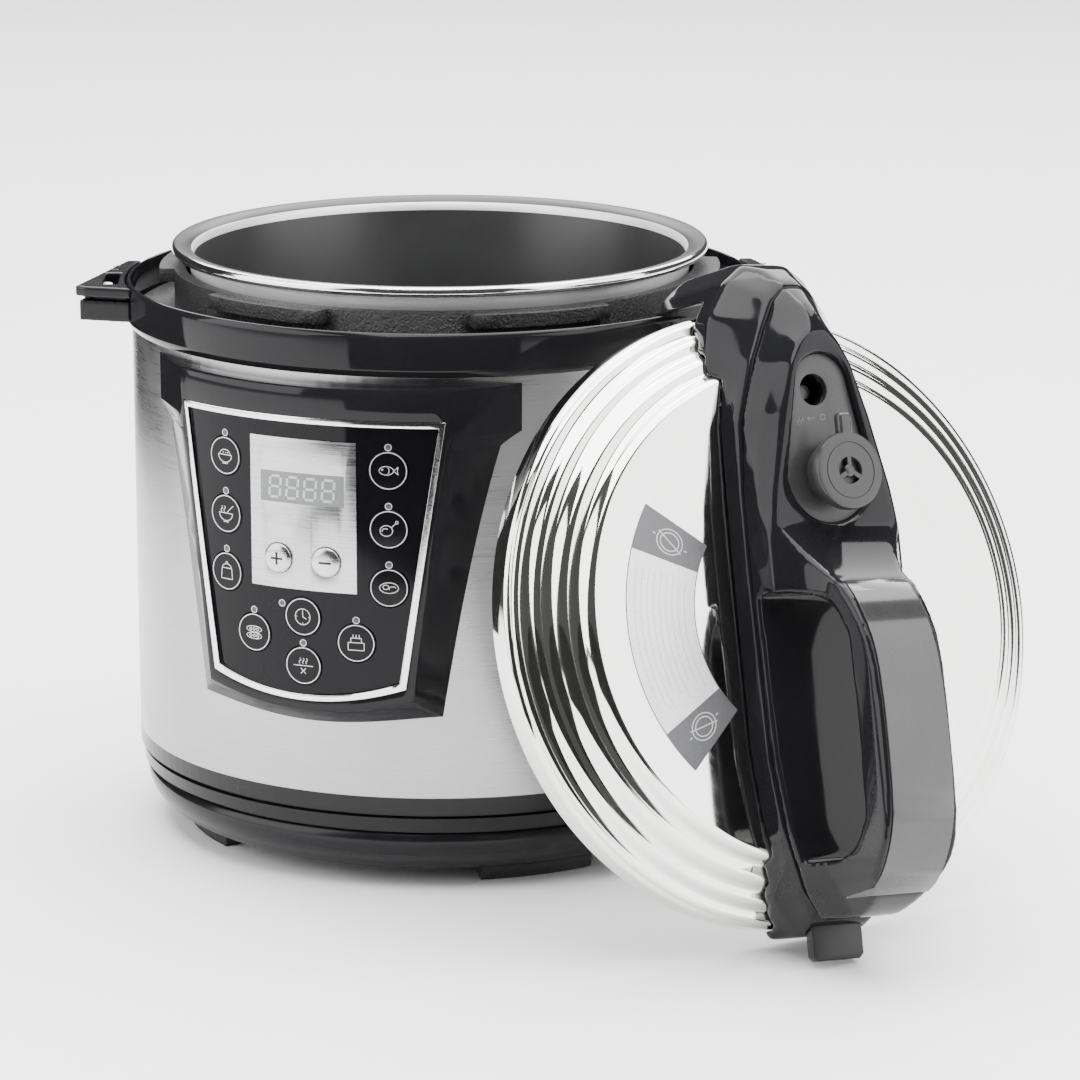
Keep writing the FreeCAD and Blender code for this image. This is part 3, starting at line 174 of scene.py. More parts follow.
@dataclass(frozen=True)
class Finish:
    """A surface: its colour, gloss, fine grain and slow unevenness."""

    name: str
    colour: Colour
    roughness: float
    metallic: float = 0.0
    roughness_swing: float = 0.04
    shade_swing: float = 0.12
    grain: Grain = Grain.EVEN
    grain_scale: float = 900.0
    grain_bump: float = 0.02
    wave_scale: float = 22.0
    wave_bump: float = 0.0
    coat: float = 0.0
    specular: float = 0.5
    transmission: float = 0.0
    axis: Matrix | None = field(default=None, compare=False)

    def place(self, graph: Graph) -> bpy.types.NodeSocket:
        """The piece's coordinates, laid about this finish's own axis if it has one.

        Args:
            graph: The material's nodes.

        Returns:
            The coordinates' socket.
        """
        here = graph.add("ShaderNodeTexCoord").outputs["Object"]
        if self.axis is None:
            return here
        turn = tuple(self.axis.to_euler())
        inputs = {"Vector": here, "Location": tuple(self.axis.translation), "Rotation": turn}
        return graph.add("ShaderNodeMapping", inputs, vector_type="TEXTURE").outputs[0]

    def grain_vector(self, graph: Graph, here: bpy.types.NodeSocket) -> bpy.types.NodeSocket:
        """The coordinates, stretched along the way that the marks run.

        Args:
            graph: The material's nodes.
            here: The piece's coordinates.

        Returns:
            The stretched coordinates' socket.
        """
        if self.grain is Grain.EVEN:
            return here
        split = graph.add("ShaderNodeSeparateXYZ", {0: here}).outputs
        fine = split[2]
        if self.grain is Grain.ROUND:
            flat = graph.add("ShaderNodeCombineXYZ", {0: split[0], 1: split[1]}).outputs[0]
            reach = graph.add("ShaderNodeVectorMath", {0: flat}, operation="LENGTH").outputs["Value"]
            fine = graph.math("ADD", reach, split[2])
        across = [graph.math("MULTIPLY", split[index], GRAIN_STRETCH) for index in (0, 1)]
        return graph.add("ShaderNodeCombineXYZ", {0: across[0], 1: across[1], 2: fine}).outputs[0]

    def build(self) -> bpy.types.Material:
        """Make the material.

        Returns:
            The material, with its colour, roughness and bump from patterns.
        """
        graph = Graph(self.name)
        here = self.place(graph)
        slow = graph.noise(here, self.wave_scale, 2.0)
        fine = graph.noise(self.grain_vector(graph, here), self.grain_scale, 4.0)
        both = graph.math("MULTIPLY", graph.math("ADD", slow, fine), 0.5)
        dark = tuple(max(0.0, part * (1 - self.shade_swing)) for part in self.colour)
        light = tuple(min(1.0, part * (1 + self.shade_swing)) for part in self.colour)
        mixed = graph.mix(graph.spread(both, 0.0, 1.0), dark, light)
        smoothest = max(0.0, self.roughness - self.roughness_swing)
        height = graph.math("ADD", graph.math("MULTIPLY", fine, self.grain_bump),
                            graph.math("MULTIPLY", slow, self.wave_bump))
        bump = graph.add("ShaderNodeBump", {"Height": height, "Strength": 1.0, "Distance": MM})
        for socket, value in {
            "Base Color": self.tint(graph, here, mixed),
            "Roughness": graph.spread(both, smoothest, self.roughness + self.roughness_swing),
            "Metallic": self.metallic,
            "Coat Weight": self.coat,
            "Coat Roughness": COAT_ROUGHNESS,
            "Specular IOR Level": self.specular,
            "Transmission Weight": self.transmission,
            "Normal": bump.outputs[0],
        }.items():
            graph.feed(graph.shader, socket, value)
        return graph.material

    def tint(self, graph: Graph, here: bpy.types.NodeSocket,
             colour: bpy.types.NodeSocket) -> bpy.types.NodeSocket:
        """Plain finishes keep their colour."""
        return colour


@dataclass(frozen=True)
class ClearPlastic(Finish):
    """A see-through moulding, which bends light as a clear plastic does."""

    def build(self) -> bpy.types.Material:
        """Make the plain finish, then give it the plastic's index.

        Returns:
            The material.
        """
        made = super().build()
        made.node_tree.nodes["Principled BSDF"].inputs["IOR"].default_value = PLASTIC_IOR
        return made


@dataclass(frozen=True)
class BoardResin(Finish):
    """A printed board: green lacquer over a grid of fine tracks."""

    track: Colour = (0.12, 0.34, 0.16)
    track_scale: float = 260.0
    track_share: float = 0.6

    def tint(self, graph: Graph, here: bpy.types.NodeSocket,
             colour: bpy.types.NodeSocket) -> bpy.types.NodeSocket:
        """Lay paler tracks over the lacquer.

        Args:
            graph: The material's nodes.
            here: The piece's coordinates.
            colour: The lacquer's colour.

        Returns:
            The colour with the tracks.
        """
        inputs = {"Vector": here, "Scale": self.track_scale, "Randomness": 0.2}
        cell = graph.add("ShaderNodeTexVoronoi", inputs, distance="MANHATTAN", feature="F1").outputs[0]
        return graph.mix(graph.spread(cell, 0.0, self.track_share, 0.3, 0.34), colour, self.track)


class FinishBook:
    """Every finish of the cooker, made once and handed out by name."""

    def __init__(self, lid_place: Matrix) -> None:
        """Write down the finishes.

        Args:
            lid_place: The lid's own frame, which its turned marks go round.
        """
        black = (0.008, 0.008, 0.009)
        deep_black = (0.004, 0.004, 0.005)
        plans = [
            Finish("gloss_black", black, 0.07, roughness_swing=0.02, grain_bump=0.002, wave_bump=0.006,
                   specular=0.18),
            Finish("base_gloss", black, 0.2, roughness_swing=0.03, grain_bump=0.002, wave_bump=0.01,
                   specular=0.2),
            Finish("satin_black", (0.01, 0.01, 0.011), 0.36, specular=0.25),
            Finish("film_black", deep_black, 0.07, roughness_swing=0.02, grain_bump=0.002, specular=0.14),
            Finish("key_black", deep_black, 0.12, roughness_swing=0.03, grain_bump=0.002, specular=0.14),
            Finish("inlay_black", (0.03, 0.03, 0.031), 0.12, roughness_swing=0.02, grain_bump=0.002,
                   coat=0.2),
            Finish("deck_grey", (0.026, 0.026, 0.027), 0.42, grain_bump=0.03, specular=0.4),
            Finish("deck_print", (0.11, 0.11, 0.112), 0.4, grain_bump=0.0),
            Finish("knob_black", (0.02, 0.02, 0.021), 0.33, grain_bump=0.03, specular=0.4),
            Finish("shell_steel", (0.36, 0.36, 0.362), 0.3, 1.0, 0.05, 0.07, Grain.ROUND, 1700.0, 0.014),
            Finish("fascia_steel", (0.46, 0.46, 0.46), 0.3, 1.0, 0.07, 0.2, Grain.LEVEL, 1700.0, 0.05),
            Finish("button_steel", (0.52, 0.52, 0.52), 0.24, 1.0, 0.06, 0.16, Grain.LEVEL, 1900.0, 0.04),
            Finish("trim_silver", (0.8, 0.8, 0.79), 0.14, 1.0, 0.04, 0.08),
            Finish("print_silver", (0.56, 0.56, 0.55), 0.36, 0.55, 0.05, 0.08),
            Finish("lid_steel", (0.83, 0.82, 0.8), 0.06, 1.0, 0.02, 0.05, Grain.ROUND, 1100.0, 0.001,
                   axis=lid_place),
            Finish("label_film", (0.8, 0.8, 0.79), 0.4, 0.3, grain_bump=0.0),
            Finish("label_ink", (0.1, 0.1, 0.105), 0.38, 0.2, grain_bump=0.0),
            Finish("label_marks", (0.5, 0.5, 0.5), 0.45, grain_bump=0.0),
            Finish("ring_wrinkle", (0.011, 0.011, 0.012), 0.3, grain_bump=0.7, shade_swing=0.3),
            Finish("pot_coating", (0.022, 0.022, 0.023), 0.36, grain_scale=1600.0, shade_swing=0.18),
            Finish("pot_satin", (0.78, 0.78, 0.77), 0.4, 0.45, 0.05, 0.04, Grain.ROUND, 900.0, 0.006),
            Finish("pot_edge", (0.84, 0.84, 0.83), 0.1, 1.0, 0.03, 0.06, Grain.ROUND, 1200.0, 0.006),
            Finish("liner_satin", (0.6, 0.6, 0.6), 0.36, 1.0, 0.06, 0.1, Grain.ROUND, 900.0, 0.02),
            Finish("cast_metal", (0.5, 0.5, 0.49), 0.46, 1.0, 0.08, 0.15, grain_scale=600.0, grain_bump=0.08),
            Finish("zinc_steel", (0.6, 0.6, 0.62), 0.3, 1.0, 0.06, 0.15),
            Finish("spring_steel", (0.45, 0.45, 0.47), 0.26, 1.0, 0.06, 0.15),
            Finish("turned_metal", (0.66, 0.66, 0.65), 0.22, 1.0, 0.06, 0.12, Grain.ROUND, 1300.0, 0.02,
                   axis=lid_place),
            Finish("dark_metal", (0.035, 0.035, 0.036), 0.36, 0.6, 0.05, 0.12),
            Finish("white_plastic", (0.72, 0.72, 0.7), 0.42, grain_bump=0.03),
            Finish("switch_plastic", (0.03, 0.03, 0.03), 0.45, grain_bump=0.03),
            Finish("silicone", (0.62, 0.62, 0.59), 0.42, grain_bump=0.03, transmission=0.15),
            Finish("foot_rubber", (0.02, 0.02, 0.02), 0.7, grain_scale=700.0, grain_bump=0.15),
            Finish("display_grey", (0.13, 0.135, 0.14), 0.2, grain_bump=0.002, coat=0.2),
            Finish("digit_pale", (0.42, 0.425, 0.43), 0.4, grain_bump=0.0),
            Finish("lamp_lens", (0.05, 0.05, 0.05), 0.22, grain_bump=0.01),
            BoardResin("board_resin", (0.02, 0.14, 0.06), 0.35),
            ClearPlastic("clear_plastic", (0.78, 0.82, 0.84), 0.12, grain_bump=0.01, transmission=0.85),
            Finish("floor_paper", (0.96, 0.96, 0.96), 0.6, shade_swing=0.003, grain_bump=0.0,
                   specular=0.1),
            Finish("flag_cloth", (0.012, 0.012, 0.012), 0.9, shade_swing=0.02, grain_bump=0.0,
                   specular=0.0),
        ]
        self.plans = {plan.name: plan for plan in plans}
        self.made: dict[str, bpy.types.Material] = {}

    def get(self, name: str) -> bpy.types.Material:
        """The material of that name, made the first time it is asked for.

        Args:
            name: The finish's name.

        Returns:
            The material.
        """
        if name not in self.made:
            self.made[name] = self.plans[name].build()
        return self.made[name]


# ---------------------------------------------------------------- mesh tools
def round_edges(made: bmesh.types.BMesh, edge: float, segments: int, sharp: float) -> None:
    """Bevel every edge whose faces meet at more than the sharp angle.

    Args:
        made: The bmesh.
        edge: The bevel's width.
        segments: The faces across it.
        sharp: The limit, in degrees.
    """
    limit = math.radians(sharp)
    corners = [line for line in made.edges
               if len(line.link_faces) == 2 and line.calc_face_angle(0.0) > limit]
    bmesh.ops.bevel(made, geom=corners, offset=edge, offset_type="OFFSET", segments=segments,
                    profile=0.5, affect="EDGES", clamp_overlap=True, material=-1)


def turned(profile: list[Point], steps: int) -> bmesh.types.BMesh:
    """Turn a closed or axis-ended profile round Z.

    Args:
        profile: Points (radius, height), in metres. A wall that misses the axis is closed.
        steps: How many faces go round.

    Returns:
        The bmesh.
    """
    made = bmesh.new()
    points = [made.verts.new((radius, 0.0, height)) for radius, height in profile]
    lines = [made.edges.new(pair) for pair in zip(points, points[1:])]
    if profile[0][0] > 0 and profile[-1][0] > 0:
        lines.append(made.edges.new((points[-1], points[0])))
    bmesh.ops.spin(made, geom=points + lines, axis=(0, 0, 1), cent=(0, 0, 0), angle=math.tau,
                   steps=steps, use_merge=True)
    bmesh.ops.remove_doubles(made, verts=made.verts, dist=1e-6)
    bmesh.ops.recalc_face_normals(made, faces=made.faces)
    return made


def facing(angle: float, reach: float, height: float) -> Matrix:
    """A place on the round front, looking outwards.

    Args:
        angle: How far it is round from the front.
        reach: Its distance from the axis.
        height: Its height.

    Returns:
        A matrix whose X is across, Y is up and Z is outwards.
    """
    out = Vector((math.sin(angle), -math.cos(angle), 0))
    across = Vector((math.cos(angle), math.sin(angle), 0))
    turn = Matrix((across, Vector((0, 0, 1)), out)).transposed().to_4x4()
    return Matrix.Translation(out * reach + Vector((0, 0, height))) @ turn


class Piece:
    """One visible piece: a bmesh that becomes an object riding on a body."""

    def __init__(self, name: str, body: str, slot: str) -> None:
        """Start an empty piece.

        Args:
            name: The piece's name.
            body: The CAD body it rides on.
            slot: The record's material slot its finish belongs to.
        """
        self.name = name
        self.body = body
        self.slot = slot
        self.shape = bmesh.new()

    def lathe(self, profile: list[Point], steps: int) -> "Piece":
        """Add a profile turned round Z."""
        return self.take(turned(profile, steps))

    def take(self, made: bmesh.types.BMesh, place: Matrix | None = None) -> "Piece":
        """Add another bmesh to this piece.

        Args:
            made: The bmesh, which is used up.
            place: Where it goes, if it isn't in its place yet.

        Returns:
            This piece.
        """
        if place is not None:
            bmesh.ops.transform(made, matrix=place, verts=made.verts)
        held = bpy.data.meshes.new("held")
        made.to_mesh(held)
        made.free()
        self.shape.from_mesh(held)
        bpy.data.meshes.remove(held)
        return self

    def block(self, centre: Vector, size: tuple[float, float, float], edge: float,
              turn: float = 0.0, segments: int = 2) -> "Piece":
        """Add a box with rounded edges, in the piece's frame.

        Args:
            centre: The box's middle.
            size: Its three sizes.
            edge: The radius of its edges.
            turn: How far it is turned about Z.
            segments: The faces across each edge.

        Returns:
            This piece.
        """
        made = bmesh.new()
        bmesh.ops.create_cube(made, size=1.0)
        bmesh.ops.scale(made, vec=size, verts=made.verts)
        round_edges(made, edge, segments, 30.0)
        return self.take(made, Matrix.Translation(centre) @ Matrix.Rotation(turn, 4, "Z"))

    def move(self, place: Matrix) -> "Piece":
        """Move everything made so far."""
        bmesh.ops.transform(self.shape, matrix=place, verts=self.shape.verts)
        return self

    def wrap(self, radius: float) -> "Piece":
        """Bend a standing drawing round the body.

        Args:
            radius: The body's radius. X goes round it, Y is the height out of it and Z is up.

        Returns:
            This piece.
        """
        for point in self.shape.verts:
            angle = point.co.x / radius
            reach = radius + point.co.y
            point.co.x = reach * math.sin(angle)
            point.co.y = -reach * math.cos(angle)
        return self

    def finish(self, materials: list[bpy.types.Material], stands_for: tuple[str, ...] = (),
               smooth: float = 35.0) -> bpy.types.Object:
        """Make the object, shade it and hang it on its body.

        Args:
            materials: Its materials, in the order of the faces' indices.
            stands_for: The CAD nodes that it replaces.
            smooth: Edges sharper than this, in degrees, stay crisp.

        Returns:
            The object.
        """
        mesh = bpy.data.meshes.new(self.name)
        self.shape.to_mesh(mesh)
        self.shape.free()
        for material in materials:
            mesh.materials.append(material)
        mesh.polygons.foreach_set("use_smooth", [True] * len(mesh.polygons))
        mesh.set_sharp_from_angle(angle=math.radians(smooth))
        made = bpy.data.objects.new(self.name, mesh)
        bpy.context.scene.collection.objects.link(made)
        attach(made, self.body)
        if stands_for:
            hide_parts(*stands_for)
        LOG.info("%s: %d faces on %s", self.name, len(mesh.polygons), self.body)
        return made


@dataclass
class Workshop:
    """What every sub-assembly needs: the frame and the finishes."""

    frame: dict
    finishes: FinishBook

    def body_of(self, node: str) -> str:
        """The CAD body that holds a node."""
        bodies = self.frame["record"]["behaviour"]["bodies"]
        return next(body for body, names in bodies.items() if node in names)

    def slot_of(self, node: str) -> str:
        """The material slot of a node."""
        parts = self.frame["record"]["subparts"]
        return next(part["material_slot"] for part in parts if part["node"] == node)

    def piece(self, name: str, node: str) -> Piece:
        """A new piece that rides and is finished like a node."""
        return Piece(name, self.body_of(node), self.slot_of(node))

    def merged(self, node: str) -> bmesh.types.BMesh:
        """A copy of a CAD node's mesh, with its loose triangles joined.

        Args:
            node: The CAD node.

        Returns:
            The bmesh.
        """
        made = bmesh.new()
        made.from_mesh(self.frame["nodes"][node].data)
        bmesh.ops.remove_doubles(made, verts=made.verts, dist=MERGE_GAP)
        return made

    def crisp(self, node: str, finish: str, edge: float = 0.0,
              smooth: float = 28.0) -> bpy.types.Object:
        """A CAD node shown as it is, smoothly shaded, with a small bevel on its corners.

        Args:
            node: The CAD node.
            finish: The name of its finish.
            edge: The bevel's width in metres, or 0 for none.
            smooth: Edges sharper than this, in degrees, stay crisp.

        Returns:
            The object that stands for the node.
        """
        made = self.merged(node)
        bmesh.ops.dissolve_limit(made, angle_limit=math.radians(FLAT_ANGLE), verts=made.verts,
                                 edges=made.edges)
        if edge > 0:
            round_edges(made, edge, 2, 32.0)
        bmesh.ops.triangulate(made, faces=[face for face in made.faces if len(face.verts) > 4])
        skin = self.piece(f"{node}_skin", node).take(made)
        return skin.finish([self.finishes.get(finish)], (node,), smooth)

    def moulded(self, node: str, finish: str, grid: float, rounds: int,
                place: Matrix | None = None) -> bpy.types.Object:
        """A CAD node with softly rounded edges, as a moulding has.

        Args:
            node: The CAD node.
            finish: The name of its finish.
            grid: The size of the rebuilt surface's faces, in metres.
            rounds: How many times the rebuilt surface is smoothed.
            place: The piece's own frame, which the rebuilt surface's grid follows.

        Returns:
            The object that stands for the node.
        """
        place = place or Matrix()
        made = self.merged(node)
        bmesh.ops.transform(made, matrix=place.inverted(), verts=made.verts)
        source = bpy.data.meshes.new(f"{node}_source")
        made.to_mesh(source)
        made.free()
        holder = bpy.data.objects.new(f"{node}_holder", source)
        bpy.context.scene.collection.objects.link(holder)
        rebuilt = holder.modifiers.new("rebuilt", "REMESH")
        rebuilt.mode = "VOXEL"
        rebuilt.voxel_size = grid
        softened = holder.modifiers.new("softened", "SMOOTH")
        softened.factor = 0.5
        softened.iterations = rounds
        graph = bpy.context.evaluated_depsgraph_get()
        result = bpy.data.meshes.new_from_object(holder.evaluated_get(graph))
        piece = self.piece(f"{node}_moulding", node)
        piece.shape.from_mesh(result)
        piece.move(place)
        bpy.data.objects.remove(holder)
        bpy.data.meshes.remove(source)
        bpy.data.meshes.remove(result)
        return piece.finish([self.finishes.get(finish)], (node,), 60.0)


# ---------------------------------------------------------------- round body
@dataclass
class RoundBody:
    """The steel body, its base, the gloss collar, the pressure ring and the liner."""

    shop: Workshop
    collar_wall: float = 2.6 * MM
    collar_foot: float = 2.0 * MM
    collar_foot_reach: float = 14.0 * MM
    collar_edge: float = 0.5 * MM

    def build(self) -> None:
        """Make and dress every piece."""
        self.shop.crisp("outer_shell", "shell_steel")
        self.shop.crisp("base_housing", "base_gloss", smooth=24.0)
        self.shop.crisp("rubber_feet", "foot_rubber", 0.5 * MM)
        self.shop.crisp("base_screws", "zinc_steel")
        self.shop.crisp("inner_housing", "liner_satin")
        self.shop.crisp("bayonet_ring", "ring_wrinkle", 0.6 * MM)
        self.collar()

    def collar(self) -> None:
        """The collar: a rounded gloss wall on a foot that reaches inwards."""
        low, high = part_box("collar")
        outer = high.x
        inner = outer - self.collar_wall
        made = turned([
            (outer - 1.6 * MM, low.z),
            (outer - 0.1 * MM, low.z + 3.0 * MM),
            (outer, low.z + 9.0 * MM),
            (outer - 0.1 * MM, high.z - 2.0 * MM),
            (outer - 1.3 * MM, high.z),
            (inner, high.z),
            (inner, low.z + self.collar_foot),
            (outer - self.collar_foot_reach, low.z + self.collar_foot),
            (outer - self.collar_foot_reach, low.z),
        ], 256)
        round_edges(made, self.collar_edge, 3, 20.0)
        piece = self.shop.piece("collar_ring", "collar").take(made)
        piece.finish([self.shop.finishes.get("gloss_black")], ("collar",))


@dataclass
class SideHandles:
    """The two side handles, with their plain engraved lock marks."""

    shop: Workshop
    grid: float = 0.55 * MM
    rounds: int = 5
    mark_size: float = 3.4 * MM
    mark_line: float = 0.28 * MM
    mark_reach: float = 146.4 * MM
    mark_back: float = 13.0 * MM
    mark_pitch: float = 9.0 * MM
    mark_turn: float = 24.0
    mark_sink: float = 0.12 * MM
    mark_rise: float = 0.16 * MM
    shackle_shift: float = 0.9 * MM

    def build(self) -> None:
        """Make both handles and their marks."""
        for node in ("side_handle_left", "side_handle_right"):
            self.shop.moulded(node, "base_gloss", self.grid, self.rounds)
            self.marks(node)

    def marks(self, node: str) -> None:
        """Two small padlocks, one shut and one open, beside the slot.

        Args:
            node: The handle's CAD node.
        """
        low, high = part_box(node)
        side = 1 if low.x + high.x > 0 else -1
        turn = Matrix.Rotation(math.radians(self.mark_turn), 4, "Z")
        piece = self.shop.piece(f"{node}_marks", node)
        size = self.mark_size
        half, foot = size * 0.4, -size * 0.5
        for index, shift in enumerate((0.0, self.shackle_shift)):
            drawing = Drawing(self.mark_line)
            drawing.line([(-half, foot), (half, foot), (half, 0), (-half, 0), (-half, foot)])
            drawing.arc((shift, 0.0), size * 0.26, size * 0.42, 0, 180)
            back = self.mark_back + index * self.mark_pitch
            centre = Vector((side * self.mark_reach, back, high.z - self.mark_sink))
            piece.take(drawing.raised(self.mark_rise), turn @ Matrix.Translation(centre))
        piece.finish([self.shop.finishes.get("label_ink")])


class Drawing:
    """A flat line drawing in the XY plane, made of thin strokes."""

    def __init__(self, width: float) -> None:
        """Start an empty drawing.

        Args:
            width: The width of its strokes in metres.
        """
        self.width = width
        self.strokes: list[list[Point]] = []

    def line(self, points: list[Point]) -> "Drawing":
        """Add a stroke through points."""
        self.strokes.append(points)
        return self

    def arc(self, centre: Point, reach_x: float, reach_y: float, start: float, end: float,
            steps: int = 14) -> "Drawing":
        """Add part of an ellipse.

        Args:
            centre: The ellipse's middle.
            reach_x: Its half width.
            reach_y: Its half height.
            start: The first angle, in degrees.
            end: The last angle, in degrees.
            steps: How many strokes make it.

        Returns:
            This drawing.
        """
        angles = [math.radians(start + (end - start) * step / steps) for step in range(steps + 1)]
        return self.line([(centre[0] + reach_x * math.cos(angle),
                           centre[1] + reach_y * math.sin(angle)) for angle in angles])

    def raised(self, height: float) -> bmesh.types.BMesh:
        """The strokes as thin flat-topped bars that stand on the plane.

        Args:
            height: How far they stand up.

        Returns:
            The bmesh.
        """
        made = bmesh.new()
        for stroke in self.strokes:
            for start, end in zip(stroke, stroke[1:]):
                self.bar(made, Vector((*start, 0)), Vector((*end, 0)), height)
        return made

    def bar(self, made: bmesh.types.BMesh, start: Vector, end: Vector, height: float) -> None:
        """Add one straight bar with pointed ends, so that bars join round a bend.

        Args:
            made: The bmesh that it is added to.
            start: The bar's first end.
            end: Its last end.
            height: How far it stands up.
        """
        along = end - start
        length = along.length + self.width * 0.5
        turn = Matrix.Rotation(math.atan2(along.y, along.x), 4, "Z")
        place = Matrix.Translation((start + end) / 2) @ turn
        ring = bmesh.ops.create_circle(made, cap_ends=True, segments=6, radius=1.0)["verts"]
        for point in ring:
            ahead = 1 if point.co.x > 0 else -1
            tip = abs(point.co.y) < 0.3
            point.co.x = ahead * (length / 2 - (0 if tip else self.width * 0.25))
            point.co.y = 0 if tip else math.copysign(self.width / 2, point.co.y)
        bmesh.ops.transform(made, matrix=place, verts=ring)
        faces = list({face for point in ring for face in point.link_faces})
        lifted = bmesh.ops.extrude_face_region(made, geom=faces)["geom"]
        tops = [item for item in lifted if isinstance(item, bmesh.types.BMVert)]
        bmesh.ops.translate(made, vec=(0, 0, height), verts=tops)
        skin = {face for point in ring + tops for face in point.link_faces}
        bmesh.ops.recalc_face_normals(made, faces=list(skin))


# ---------------------------------------------------------------- cooking pot
@dataclass
class CookingPot:
    """The removable pot: coated inside, satin outside, with a polished edge on its rolled lip."""

    shop: Workshop
    wall: float = 1.6 * MM
    floor: float = 2.5 * MM
    corner: float = 14.0 * MM
    inner: float = 110.0 * MM
    lip: float = 4.5 * MM
    polished_band: float = 1.3 * MM
    coated_band: float = 3.0 * MM
    slack: float = 0.5 * MM
    corner_steps: int = 8

    def build(self) -> None:
        """Make the bowl, then give each face its finish."""
        low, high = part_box("inner_pot")
        outer = self.inner + self.wall
        lip_radius = high.x
        lip_low = high.z - self.lip
        piece = self.shop.piece("cooking_bowl", "inner_pot")
        angles = [math.radians(step * 90 / self.corner_steps) for step in range(self.corner_steps + 1)]
        bend = [(self.corner * math.cos(angle), self.corner * math.sin(angle)) for angle in angles]
        outside = [(outer - self.corner + y, low.z + self.corner - x) for x, y in bend]
        inside = [(self.inner - self.corner + y, low.z + self.floor + self.corner - x) for x, y in bend]
        profile = [(0.0, low.z)] + outside
        profile += [
            (outer, lip_low - 3 * MM), (outer + 0.7 * MM, lip_low - 0.8 * MM),
            (outer + 2.4 * MM, lip_low), (lip_radius - 1.2 * MM, lip_low),
            (lip_radius - 0.2 * MM, lip_low + 0.9 * MM), (lip_radius, lip_low + 2.0 * MM),
            (lip_radius - 0.2 * MM, high.z - 1.0 * MM), (lip_radius - 1.2 * MM, high.z - 0.15 * MM),
            (lip_radius - 3.0 * MM, high.z), (self.inner + 4.0 * MM, high.z - 0.7 * MM),
            (self.inner + 1.2 * MM, high.z - 2.4 * MM), (self.inner, high.z - 6.0 * MM),
        ]
        profile += inside[::-1] + [(0.0, low.z + self.floor)]
        piece.lathe(profile, 256)
        for face in piece.shape.faces:
            face.material_index = self.zone(face, lip_radius, lip_low, high.z)
        looks = [self.shop.finishes.get(name) for name in ("pot_coating", "pot_satin", "pot_edge")]
        piece.finish(looks, ("inner_pot",), 50.0)

    def zone(self, face: bmesh.types.BMFace, lip_radius: float, lip_low: float, top: float) -> int:
        """Choose a face's finish.

        Args:
            face: The face.
            lip_radius: The lip's outer radius.
            lip_low: The height of its underside.
            top: The height of its top.

        Returns:
            The place of the finish in the list: 0 coated, 1 satin, 2 polished.
        """
        centre = face.calc_center_median()
        reach = math.hypot(centre.x, centre.y)
        if reach > lip_radius - self.polished_band and centre.z > lip_low:
            return 2
        inwards = face.normal.x * centre.x + face.normal.y * centre.y <= 0
        bore = inwards and reach < self.inner + self.slack and face.normal.z >= -0.01
        floor = reach < self.inner - self.slack and face.normal.z > 0.02
        return 0 if bore or floor or centre.z > top - self.coated_band else 1


# ---------------------------------------------------------------- control panel
class Icon(Enum):
    """The plain line icon on each flat key."""

    RICE = "rice"
    PORRIDGE = "porridge"
    SOUP = "soup"
    BEAN = "bean"
    CAKE = "cake"
    MEAT = "meat"
    CHICKEN = "chicken"
    FISH = "fish"
    PRESET = "preset"
    CANCEL = "cancel"


